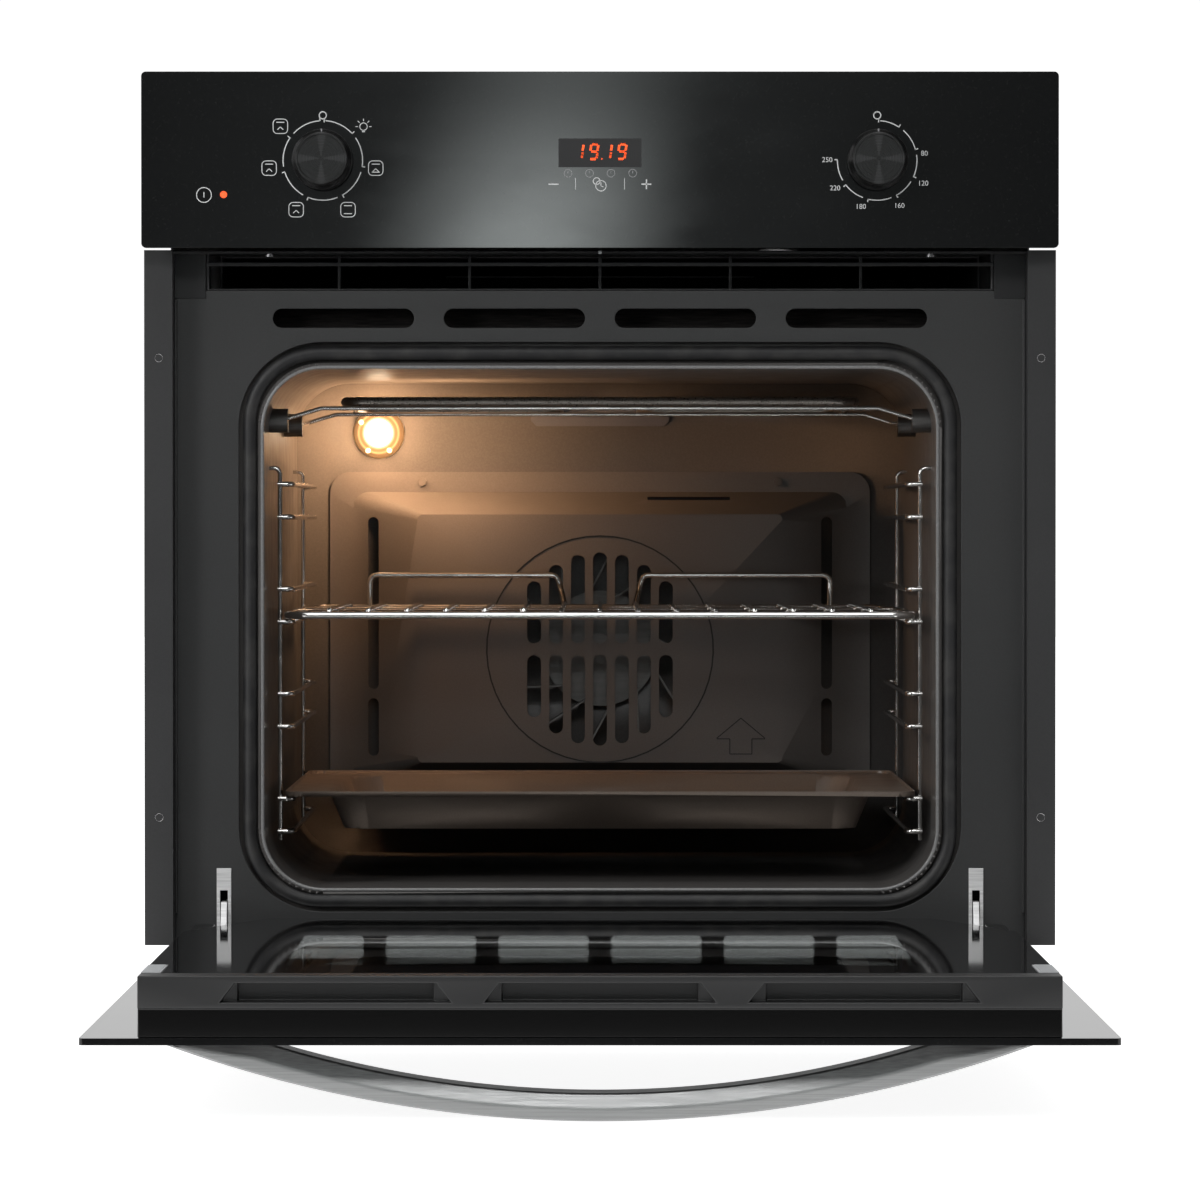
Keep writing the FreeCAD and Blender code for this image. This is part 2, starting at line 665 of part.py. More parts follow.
def build_fan():
    """The motor behind the back wall, and the wheel that turns on its shaft in the cavity."""
    behind = "cavity_back + liner"
    motor = joined([
        rod("y", "40", depth(f"{behind} + 6"), depth(f"{behind} + 58"), z="fan_z"),
        block(("-34", "34"), (depth(f"{behind} + 3"), depth(f"{behind} + 6")),
              ("fan_z - 34", "fan_z + 34")),
        rod("y", "12", depth(behind), depth(f"{behind} + 6"), z="fan_z")])
    bearing = rod("y", "shaft_radius + running_gap", depth("cavity_back - 1"),
                  depth(f"{behind} + 48"), z="fan_z")
    keep("fan_motor", without(motor, [bearing]))
    centre = point("0", depth("cavity_back - 6"), "fan_z")
    radius = number("fan_radius")
    shaft = number("shaft_radius")
    pieces = [Part.makeCylinder(shaft, 62, centre - V(0, 24, 0), V(0, 1, 0)),
              Part.makeCylinder(11, 14, centre - V(0, 14, 0), V(0, 1, 0)),
              Part.makeCylinder(radius - 33, 1.2, centre - V(0, 1.2, 0), V(0, 1, 0))]
    for index in range(12):
        blade = Part.makeBox(38, 19, 1.2)
        blade.translate(V(radius - 40, -20, -0.6))
        blade.rotate(V(radius - 20, 0, 0), V(0, 1, 0), 28)
        blade.rotate(V(0, 0, 0), V(0, 1, 0), 30 * index)
        blade.translate(centre)
        pieces.append(blade)
    shaped("convection_fan", welded(pieces))


def baffle_loops(inset):
    """The outlines of the pressed fan cover, from its flange to its raised plate."""
    back = number(depth("cavity_back - baffle_gauge"))
    front = number(depth("plate_depth")) + inset
    slope = rounded_loop(number("slope_x") - inset,
                         (number("slope_low") + inset, number("slope_high") - inset), back,
                         number("slope_round") - inset)
    plate = rounded_loop(number("plate_x") - inset,
                         (number("plate_low") + inset, number("plate_high") - inset), front,
                         number("plate_round") - inset)
    return [slope, plate]


def punched(x, z_span, wide, y_span):
    """A round-ended upright slot to cut through a sheet."""
    slot = Part.Face(rounded_loop(wide / 2, z_span, y_span[0], wide * 0.49))
    slot = slot.extrude(V(0, y_span[1] - y_span[0], 0))
    slot.translate(V(x, 0, 0))
    return slot


def build_baffle():
    """A pressed cover: flat flange on the back wall, sloped sides and a raised slotted plate."""
    back = number(depth("cavity_back"))
    gauge = number("baffle_gauge")
    flange = Part.Face(rounded_loop(number("baffle_x"),
                                    (number("baffle_low"), number("baffle_high")), back, 15))
    body = flange.extrude(V(0, -gauge, 0)).fuse(lofted(baffle_loops(0)))
    mouth = rounded_loop(number("slope_x") - gauge,
                         (number("slope_low") + gauge, number("slope_high") - gauge), back,
                         number("slope_round") - gauge)
    body = body.cut(lofted(baffle_loops(gauge)))
    body = body.cut(Part.Face(mouth).extrude(V(0, -gauge, 0)))
    pitch, wide = number("vent_pitch"), number("vent_wide")
    front = number(depth("plate_depth"))
    middle = number("fan_z")
    reach_by_column = (69.9, 68.1, 61, 49.2)
    holes = []
    for column in range(-3, 4):
        far = reach_by_column[abs(column)]
        for side in (-1, 1):
            span = sorted((middle + side * 4.2, middle + side * far))
            holes.append(punched(column * pitch, span, wide, (front - 1, front + 3)))
    for side in (-1, 1):
        for span in ((132.8, 174.6), (181.5, 306.6)):
            holes.append(punched(165 * side, span, 8, (front - 1, back - 2)))
    holes.append(Part.makeBox(60, 30, 2.4, V(34.6, front - 1, 318.9)))
    screw_x, screw_z = number("baffle_screw_x"), number("baffle_screw_z")
    for x in (-screw_x, screw_x):
        holes.append(Part.makeCylinder(2.2, 6, V(x, back - 3, screw_z), V(0, 1, 0)))
    shaped("fan_baffle", body.cut(Part.makeCompound(holes)))
    screws = []
    for x in ("-baffle_screw_x", "baffle_screw_x"):
        head = rod("y", "3.2", depth("cavity_back - 3.4"), depth("cavity_back - baffle_gauge"),
                   x=x, z="baffle_screw_z")
        stem = rod("y", "2.1", depth("cavity_back - 2"), depth("cavity_back"), x=x,
                   z="baffle_screw_z")
        screws.append(joined([head, stem]))
    keep("baffle_screws", grouped(screws))


def build_heaters():
    """The grill element on its terminal flange, its wire support, and the element underneath."""
    z = number("grill_z")
    leg, side = number("heater_leg_x"), number("grill_x")
    front, rear = number(depth("grill_front")), number(depth("grill_rear"))
    end = number(depth("cavity_back + 30"))
    route = [V(-leg, end, z), V(-leg, rear, z), V(-side, rear, z), V(-side, front, z),
             V(side, front, z), V(side, rear, z), V(leg, rear, z), V(leg, end, z)]
    shaped("grill_element", bent_bar(route, number("heater_radius"), 14))
    plate = new_body("element_flange")
    span = (depth("cavity_back - 1.6"), depth("cavity_back"))
    pad(plate, "XZ", span, [("-flange_x + 4", "373"), ("flange_x - 4", "373"),
                            ("flange_x", "377"), ("flange_x", "392"), ("-flange_x", "392"),
                            ("-flange_x", "377")])
    bores(plate, "XZ", span, "heater_radius + 0.3",
          [("-heater_leg_x", "grill_z"), ("heater_leg_x", "grill_z")])
    low = number("bottom_z")
    wide = number("bottom_x")
    near, far = number(depth("95")), number(depth("400"))
    route = [V(-leg, end, low), V(-leg, far, low), V(-wide, far, low), V(-wide, near, low),
             V(wide, near, low), V(wide, far, low), V(leg, far, low), V(leg, end, low)]
    shaped("bottom_element", bent_bar(route, number("heater_radius"), 14))
    build_element_support()


def build_element_support():
    """Two cross wires under the grill element, their ends resting on the upper wall nuts."""
    z = number("support_z")
    drop, end = z - 6, z - 8.3
    radius = number("wire_radius")
    wall = number("rack_x") + 0.6
    tunnel = Part.Face(rounded_loop(number("cavity_x"), (number("cavity_low"),
                                    number("cavity_high")), number(TRIM), number("cavity_round")))
    tunnel = tunnel.extrude(V(0, number("cavity_back"), 0))
    nuts, wires = [], []
    for hook, cross in ((88, 88), (267, 300)):
        hook_y, cross_y = number(depth(hook)), number(depth(cross))
        half = [V(186.4, cross_y, z), V(206, cross_y, drop), V(wall, hook_y, end)]
        left = [V(-p.x, p.y, p.z) for p in reversed(half)]
        wires.append(bent_bar(left + half, radius, 5))
        for side in (-1, 1):
            length = number("nut_long")
            x = side * (number("cavity_x") - length)
            nut = Part.makeCylinder(number("nut_radius"), length, V(x, hook_y, end),
                                    V(side, 0, 0))
            nuts.append(nut.common(tunnel).cut(wires[-1]))
    shaped("element_support", Part.makeCompound(wires))
    shaped("wall_nuts", Part.makeCompound(nuts))


# ---- side racks, shelf and tray ----

def build_side_rack(label, sign):
    """Two bent uprights hooked into the wall carry four pairs of rails."""
    upright = number("rack_x") * sign
    inner = number("rail_x") * sign
    outer = (number("rack_x") + 1.4) * sign
    radius, rail = number("rack_radius"), number("rail_radius")
    front, rear = number(depth("rack_front")), number(depth("rack_rear"))
    gap = radius + rail - 0.5
    foot = number("rail_low") - 6
    top = 339
    wall = number("cavity_x") * sign
    bars = []
    for y in (front, rear):
        hook = [V(upright, y, foot), V(upright, y, top), V(wall, y, top)]
        bars.append(bent_bar(hook, radius, 4))
    for level in range(4):
        for pair in range(2):
            z = number(f"rail_low + level_pitch * {level} + rail_pair * {pair}")
            route = [V(outer, front - gap, z), V(inner, front - gap, z), V(inner, rear + gap, z),
                     V(outer, rear + gap, z)]
            bars.append(bent_bar(route, rail, 4))
    shaped(label, welded(bars))


def build_shelf():
    """A chrome wire shelf: heavy frame bar, fifteen wires on it and two guard rails behind."""
    bar, wire = number("shelf_bar"), number("rack_radius")
    z = number("shelf_z")
    side = number("shelf_x")
    front, rear = number(depth("shelf_front")), number(depth("shelf_rear"))
    frame = [V(0, front, z), V(side, front, z), V(side, rear, z), V(-side, rear, z),
             V(-side, front, z), V(0, front, z)]
    bars = [bent_bar(frame, bar, 14)]
    top = z + bar + wire - 0.6
    count = SIZES["shelf_wires"]
    pitch = number("shelf_pitch")
    for index in range(count):
        x = (index - (count - 1) / 2) * pitch
        bars.append(straight_bar(V(x, front - 1, top), V(x, rear + 1, top), wire))
    for y in (front + 106, front + 213):
        bars.append(straight_bar(V(-side, y, z), V(side, y, z), bar - 0.4))
    guard = z + number("guard_height")
    for sign in (-1, 1):
        route = [V(25 * sign, rear, z), V(31 * sign, rear, guard), V(166 * sign, rear, guard),
                 V(166 * sign, rear, z)]
        bars.append(bent_bar(route, 2, 5))
    shaped("wire_shelf", welded(bars))


def build_tray():
    """A pressed tray: flat rim on the rails, rolled edge, sloped sides and a flat bottom."""
    thick = number("door_gauge")
    rim = number("tray_z")
    deep = number("tray_deep")
    edge, well = number("tray_x"), number("tray_well_x")
    slope = number("tray_slope")
    front, rear = number(depth("shelf_front")), number(depth("shelf_rear"))
    border = 14

    def loops(inset, low, high):
        top = flat_loop(well - inset, (front + border + inset, rear - border - inset), high, 24)
        base = flat_loop(well - slope - inset,
                         (front + border + slope + inset, rear - border - slope - inset), low, 18)
        return [base, top]

    plate = Part.Face(flat_loop(edge, (front, rear), rim, 12)).extrude(V(0, 0, 3.4))
    dish = Part.Face(flat_loop(edge - thick, (front + thick, rear - thick), rim + thick, 11))
    pan = plate.cut(dish.extrude(V(0, 0, 3)))
    pan = pan.fuse(lofted(loops(0, rim - deep, rim)))
    pan = pan.cut(lofted(loops(thick, rim - deep + thick, rim + thick + 0.01)))
    shaped("baking_tray", pan.removeSplitter())


# ---- door, built open ----

def door_plate(label, half, span, low, high, notch=None):
    """A flat pane between two distances from the hinge axis."""
    body = new_body(label)
    near, far = reach(span[1]), reach(span[0])
    corners = rectangle((f"-({half})", half), (near, far))
    if notch:
        x, back = notch
        corners = [(f"-({half})", near), (half, near), (half, reach(back)), (x, far),
                   (f"-({x})", far), (f"-({half})", reach(back))]
    pad(body, "XY", (low, high), corners)
    return body


def build_door_glass():
    skin = "-skin_drop"
    outer = door_plate("door_outer_glass", "front_width / 2", ("-door_heel", "door_reach"),
                       rise(skin), rise(f"{skin} + glass"))
    rounded(outer, "3", V(0, 0, 1), everywhere())
    bores(outer, "XY", (rise(skin), rise(f"{skin} + glass")), "2.3",
          [(f"{side} * handle_screw_x", reach("handle_mid")) for side in (-1, 1)])
    door_plate("door_middle_glass", "middle_x - 0.2", ("14", "trim_start"),
               "middle_low", "middle_low + glass")
    door_plate("door_inner_glass", "door_x - 0.4", ("-frame_heel", "trim_start"),
               rise("inner_rise - glass"), rise("inner_rise"), notch=("216.5", "110"))


def build_door_frame():
    """Folded side rails, a slotted bottom rail and the vented trim along the tip."""
    low = rise("-skin_drop + glass")
    high = rise("inner_rise - glass")
    for label, sign in (("door_side_left", -1), ("door_side_right", 1)):
        rail = new_body(label)
        span = (reach("trim_start"), reach("-frame_heel"))

        def across(near, far):
            return sided(sign, near, far)

        wall = across("door_x - door_gauge", "door_x")
        flange = across("door_x - side_wide", "door_x")
        pad(rail, "XZ", span, rectangle(wall, (low, high)))
        pad(rail, "XZ", span, rectangle(flange, (low, f"{low} + door_gauge")))
        pad(rail, "XZ", span, rectangle(flange, (f"{high} - door_gauge", high)))
        pocket(rail, "XY", (f"{high} - door_gauge", high),
               rectangle(across("hinge_x - 4.5", "hinge_x + 4.5"),
                         (reach("40"), reach("-frame_heel"))))
    bottom = new_body("door_bottom_rail")
    half = "door_x - side_wide - 0.3"
    width = (f"-({half})", half)
    heel = reach("-frame_heel")
    pad(bottom, "XZ", (f"{heel} - door_gauge", heel), rectangle(width, (low, high)))
    pad(bottom, "XZ", (reach("12"), heel), rectangle(width, (low, f"{low} + door_gauge")))
    pad(bottom, "XZ", (reach("12"), heel), rectangle(width, (f"{high} - door_gauge", high)))
    slot = rounded_pocket(bottom, "XZ", (f"{heel} - door_gauge", heel),
                          ("-heel_slot_x", "-heel_slot_x + heel_slot_long"),
                          ("heel_slot_z - 3.2", "heel_slot_z + 3.2"), "3.15")
    repeated(bottom, slot, "X_Axis", "heel_slot_pitch * 5", 6)
    build_door_trim()


def build_door_trim():
    """The moulded strip along the door's tip, with three shallow grip-shaped recesses."""
    trim = new_body("door_top_trim")
    width = ("-door_x", "door_x")
    near, far = reach("door_reach - 1"), reach("trim_start")
    pad(trim, "XY", ("25.4", rise("inner_rise")), rectangle(width, (near, far)))
    lower = (rise("-skin_drop + glass"), "25.4")
    pad(trim, "XY", lower, rectangle(width, (f"{near} + 1.5", f"{near} + 4")))
    for sign in (-1, 1):
        pad(trim, "XY", lower,
            rectangle(sided(sign, "middle_x", "door_x"), (f"{near} + 3", far)))
    for x in ("-151", "0", "151"):
        pocket(trim, "XZ", (near, f"{near} + 5"),
               [(f"{x} - 66", "29"), (f"{x} + 66", "29"), (f"{x} + 57.5", "40"),
                (f"{x} - 57.5", "40")])
        pocket(trim, "XZ", (f"{near} + 4", f"{near} + 12"),
               rectangle((f"{x} - 56", f"{x} + 56"), ("29", "40")))


def build_hinges():
    """Arms hooked through the front frame carry pins; channels in the door turn on them."""
    axis_y = reach("0")
    pins, receivers = [], []
    for label, sign in (("left", -1), ("right", 1)):
        middle = f"({sign} * hinge_x)"
        arm = new_body(f"hinge_arm_{label}")
        span = (f"{middle} - arm_wide / 2", f"{middle} + arm_wide / 2")
        pad(arm, "YZ", span, [
            (f"{axis_y} - 5", "axis_z + 4"), (f"{axis_y} - 5", "axis_z - 4"),
            (f"{axis_y} + 6", "axis_z - 4"), (depth("19"), "26"), (depth("21.6"), "26"),
            (depth("21.8"), "15"), (depth("32"), "15"), (depth("32"), "53.5"),
            (depth("19"), "53.5"), (depth("14"), "40"), (f"{axis_y} + 4", "axis_z + 7")])
        bores(arm, "YZ", span, "pin_radius", [(axis_y, "axis_z")])
        channel = new_body(f"hinge_channel_{label}")
        half = "channel_wide / 2"
        for side in (-1, 1):
            cheek = sided(side, f"{half} - 1.5", half)
            cheek = tuple(f"{middle} + {edge}" for edge in cheek)
            pad(channel, "YZ", cheek, [
                (reach("180"), "11"), (reach("-4"), "11"), (reach("-4"), "27"),
                (reach("60"), "37.5"), (reach("180"), "37.5")])
        pad(channel, "XY", ("10.8", "12.2"),
            rectangle((f"{middle} - {half}", f"{middle} + {half}"),
                      (reach("180"), reach("8"))))
        bores(channel, "YZ", (f"{middle} - {half}", f"{middle} + {half}"),
              "pin_radius + running_gap", [(axis_y, "axis_z")])
        pins.append(rod("x", "pin_radius", f"{middle} - {half} - 1.2", f"{middle} + {half} + 1.2",
                        y=axis_y, z="axis_z"))
        strip = block((f"{middle} - 4.8", f"{middle} + 4.8"), (depth("19"), depth("trim_step")),
                      ("20", "75.6"))
        window = block((f"{middle} - 2.5", f"{middle} + 2.5"), (depth("18"), depth("21")),
                       ("22", "61"))
        receivers.append(without(strip, [window]))
    keep("hinge_pins", grouped(pins))
    keep("hinge_receivers", grouped(receivers))


def bow_arc(half, drop, top):
    """An arc under a chord of a given half-length, as (start, lowest point, end)."""
    return (V(-half, top, 0), V(0, top - drop, 0), V(half, top, 0))


def build_handle():
    """A flat bow: the stretch between two arcs, as wide as a finger, with rounded edges."""
    top = number(rise("-skin_drop"))
    handle = new_body("door_handle")
    sketch = sketch_on(handle, "XZ", reach("handle_mid - handle_wide / 2"))
    outer = bow_arc(number("bow_outer_x"), number("bow_outer"), top)
    inner = bow_arc(number("bow_inner_x"), number("bow_inner"), top)
    sketch.addGeometry(Part.Arc(*outer), False)
    sketch.addGeometry(Part.Arc(*inner), False)
    sketch.addGeometry(Part.LineSegment(outer[0], inner[0]), False)
    sketch.addGeometry(Part.LineSegment(inner[2], outer[2]), False)
    hold(sketch, "Radius", 0, value="(pow(bow_outer_x; 2) + pow(bow_outer; 2)) / bow_outer / 2")
    hold(sketch, "Radius", 1, value="(pow(bow_inner_x; 2) + pow(bow_inner; 2)) / bow_inner / 2")
    feature(handle, "Pad", sketch, "handle_wide")
    screws = []
    for side in (-1, 1):
        x = f"{side} * handle_screw_x"
        stem = rod("z", "2", rise("-skin_drop - 9"), rise("-skin_drop + glass"), x=x,
                   y=reach("handle_mid"))
        head = rod("z", "4.5", rise("-skin_drop + glass"), rise("-skin_drop + glass + 2.4"), x=x,
                   y=reach("handle_mid"))
        screws.append(joined([stem, head]))
    bores(handle, "XY", (rise("-skin_drop - 9.5"), rise("-skin_drop")), "2.1",
          [(f"{side} * handle_screw_x", reach("handle_mid")) for side in (-1, 1)])
    keep("handle_screws", grouped(screws))


def build_clips():
    """Ribbed clips that hold the inner pane at the door's far corners."""
    clips = []
    for sign in (-1, 1):
        base = block(sided(sign, "252", "door_x - 0.4"), (reach("trim_start"), reach("383")),
                     (rise("inner_rise"), rise("inner_rise + 0.5")))
        ribs = []
        for index in range(9):
            place = f"386 + {index} * 5.6"
            ribs.append(block(sided(sign, "253", "door_x - 1.4"),
                              (reach(f"{place} + 2.4"), reach(place)),
                              (rise("inner_rise + 0.4"), rise("inner_rise + 0.9"))))
        clips.append(joined([base] + ribs))
    keep("glass_clips", grouped(clips))


# ---- control panel ----

def build_panel():
    front = depth("panel_depth")
    back = depth("panel_depth + panel_glass")
    panel = new_body("control_panel")
    pad(panel, "XZ", (front, back),
        rectangle(("-front_width / 2", "front_width / 2"), (PANEL_LOW, "front_height")))
    rounded(panel, "3", V(0, 1, 0), everywhere())
    knobs = [(f"{side} * knob_x", "knob_z") for side in (-1, 1)]
    lamp = [("indicator_x", "indicator_z")]
    bores(panel, "XZ", (front, back), "spindle_radius + 1.5", knobs)
    bores(panel, "XZ", (front, back), "indicator_radius + 0.1", lamp)
    carrier = new_body("panel_carrier")
    rear = depth("-0.1")
    wall = "carrier_wall"
    pad(carrier, "XZ", (back, rear),
        rectangle(("-carrier_x", "carrier_x"), ("carrier_low", "carrier_high")))
    pocket(carrier, "XZ", (f"{back} + {wall}", rear),
           rectangle((f"-(carrier_x - {wall})", f"carrier_x - {wall}"),
                     (f"carrier_low + {wall}", f"carrier_high - {wall}")))
    pocket(carrier, "XZ", (back, f"{back} + {wall}"),
           rectangle(("-window_x", "window_x"), ("525", "559")))
    bores(carrier, "XZ", (back, f"{back} + {wall}"), "spindle_radius + 3.5", knobs)
    bores(carrier, "XZ", (back, f"{back} + {wall}"), "indicator_radius + 0.3", lamp)
    keep("indicator_lens", rod("y", "indicator_radius", depth("panel_depth + 0.3"), depth("-9"),
                               x="indicator_x", z="indicator_z"))
    keep("display_module", block(("-34", "34"), (f"{back} + 0.1", depth("-8")), ("527", "557")))
    keep("control_board", block(("-140", "140"), (depth("-8"), depth("-6.4")), ("500", "572")))
    for label, side in (("function", -1), ("temperature", 1)):
        build_knob(label, f"({side} * knob_x)", f"{back} + {wall}")


def build_knob(label, x, mount_y):
    """A round knob pressed on a spindle, and the switch body that the spindle turns in."""
    skirt = depth("panel_depth - 0.5")
    nose = depth("panel_depth - knob_long")
    hole_end = depth("panel_depth - knob_long + 6")
    turned(f"{label}_knob", [
        ("0", nose), ("knob_front - 1.2", nose), ("knob_front", f"{nose} + 1.2"),
        ("knob_front", f"{nose} + 4"), ("knob_radius", f"{nose} + 8"),
        ("knob_radius", f"{skirt} - 1"), ("knob_radius - 0.8", skirt),
        ("knob_radius - 2.4", skirt), ("knob_radius - 2.4", f"{skirt} - 9"), ("7", f"{skirt} - 9"),
        ("7", f"{skirt} - 1"), ("spindle_radius", f"{skirt} - 1"), ("spindle_radius", hole_end),
        ("0", hole_end)], x, "knob_z")
    keep(f"{label}_spindle", rod("y", "spindle_radius", hole_end, depth("14"), x=x, z="knob_z"))
    case = joined([
        block((f"{x} - 20", f"{x} + 20"), (depth("-11"), depth("22")),
              ("knob_z - 20", "knob_z + 20")),
        rod("y", "6", mount_y, depth("-11"), x=x, z="knob_z")])
    bearing = rod("y", "spindle_radius + running_gap", depth("-20"), depth("14.5"), x=x,
                  z="knob_z")
    name = "function_switch" if label == "function" else "thermostat"
    keep(name, without(case, [bearing]))


build_side_panel("side_panel_left", -1)
build_side_panel("side_panel_right", 1)
build_casing()
build_front_frame()
build_air_outlet()
build_air_path()
build_liner()
build_gasket()
build_insulation()
build_lamp()
build_fan()
build_baffle()
build_heaters()
build_side_rack("side_rack_left", -1)
build_side_rack("side_rack_right", 1)
build_shelf()
build_tray()
build_door_glass()
build_door_frame()
build_hinges()
build_handle()
build_clips()
build_panel()
doc.recompute()

for item in doc.Objects:
    assert not {"Invalid", "Error"} & set(item.State), f"{item.Name} failed: {item.State}"
os.makedirs("parts", exist_ok=True)
for label, item in PIECES.items():
    shape = item.Shape
    assert not shape.isNull() and shape.isValid(), f"{label} has no valid shape"
    shape.exportStep(f"parts/{label}.step")
print(len(PIECES), "sub-parts")
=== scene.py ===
# %% [markdown]
# # A built-in oven with its door open
# The metalwork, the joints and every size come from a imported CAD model. This lesson gives that
# model its looks: soft edges, enamel, glass, chrome, print on the fascia and studio light.
# The CAD model is loaded first, because every later piece takes its place from it.

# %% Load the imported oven
import json
import math

import bmesh
import bpy
from mathutils import Matrix, Vector


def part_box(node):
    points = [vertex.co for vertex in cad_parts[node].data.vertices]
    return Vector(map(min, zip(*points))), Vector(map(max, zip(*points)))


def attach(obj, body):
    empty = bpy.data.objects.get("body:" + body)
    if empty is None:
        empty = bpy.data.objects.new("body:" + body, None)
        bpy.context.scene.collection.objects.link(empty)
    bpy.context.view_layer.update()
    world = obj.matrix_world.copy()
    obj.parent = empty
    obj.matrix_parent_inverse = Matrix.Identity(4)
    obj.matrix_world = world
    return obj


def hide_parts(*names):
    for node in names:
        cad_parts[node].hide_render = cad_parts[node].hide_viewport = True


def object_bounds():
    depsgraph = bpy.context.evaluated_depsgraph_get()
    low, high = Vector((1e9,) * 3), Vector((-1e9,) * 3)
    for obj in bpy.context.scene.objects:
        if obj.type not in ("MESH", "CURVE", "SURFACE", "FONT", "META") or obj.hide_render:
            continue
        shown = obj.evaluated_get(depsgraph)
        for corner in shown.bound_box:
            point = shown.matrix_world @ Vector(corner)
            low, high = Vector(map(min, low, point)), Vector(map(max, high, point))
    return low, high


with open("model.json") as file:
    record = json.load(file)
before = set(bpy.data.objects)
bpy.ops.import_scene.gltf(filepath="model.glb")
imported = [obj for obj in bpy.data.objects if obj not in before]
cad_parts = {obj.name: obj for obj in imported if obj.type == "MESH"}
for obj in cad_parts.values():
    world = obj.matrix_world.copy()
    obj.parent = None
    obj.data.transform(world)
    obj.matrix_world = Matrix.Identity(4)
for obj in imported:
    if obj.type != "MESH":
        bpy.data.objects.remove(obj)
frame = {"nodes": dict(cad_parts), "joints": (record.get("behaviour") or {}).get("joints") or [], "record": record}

cad_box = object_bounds()
NODES = frame["nodes"]
MM = 0.001
print("the CAD oven has", len(NODES), "pieces")

# %% [markdown]
# ## Where things are
# The fascia's front face, the front of the side panels, the knob axes and the body of each piece are read from the
# CAD pieces and joints, so nothing has to be fitted by eye.

# %% Read the main places
JOINTS = {joint["name"]: joint for joint in frame["joints"]}
FASCIA_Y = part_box("control_panel")[0].y
TRIM_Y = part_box("side_panel_left")[0].y
KNOB_PLACES = {side: Vector(JOINTS[side + "_turn"]["pos_m"])
               for side in ("function", "temperature")}
BODY_OF = {node: body for body, members in frame["record"]["behaviour"]["bodies"].items()
           for node in members}
print("fascia front at y =", round(FASCIA_Y, 4))

# %% [markdown]
# ## Arithmetic between shader sockets
# Noise, ramps and masks are easier to read as sums than as a tangle of nodes. Wave wraps one
# socket; adding or multiplying two of them adds the Math node that does it.

# %% A wrapped socket
class Wave:
    """A number that varies over a surface, with arithmetic that adds Math nodes."""

    def __init__(self, tree, socket):
        self.tree = tree
        self.socket = socket

    def combined(self, operation, first, second):
        node = self.tree.nodes.new("ShaderNodeMath")
        node.operation = operation
        for socket, value in zip(node.inputs, (first, second)):
            if isinstance(value, Wave):
                self.tree.links.new(value.socket, socket)
            else:
                socket.default_value = value
        return Wave(self.tree, node.outputs[0])

    def __add__(self, other):
        return self.combined("ADD", self, other)

    def __sub__(self, other):
        return self.combined("SUBTRACT", self, other)

    def __rsub__(self, other):
        return self.combined("SUBTRACT", other, self)

    def __mul__(self, other):
        return self.combined("MULTIPLY", self, other)

    def __gt__(self, other):
        return self.combined("GREATER_THAN", self, other)

    def __lt__(self, other):
        return self.combined("LESS_THAN", self, other)

    def __truediv__(self, other):
        return self.combined("DIVIDE", self, other)

    def largest(self, other):
        return self.combined("MAXIMUM", self, other)

    def size(self):
        return self.combined("ABSOLUTE", self, 0.0)

    def root(self):
        return self.combined("SQRT", self, 0.0)

    __radd__ = __add__
    __rmul__ = __mul__


# %% [markdown]
# ## One finish, one class
# Every finish starts from the Principled shader with its steady values set on its own sockets.
# What changes over the surface is linked afterwards: colour, roughness or a bump.

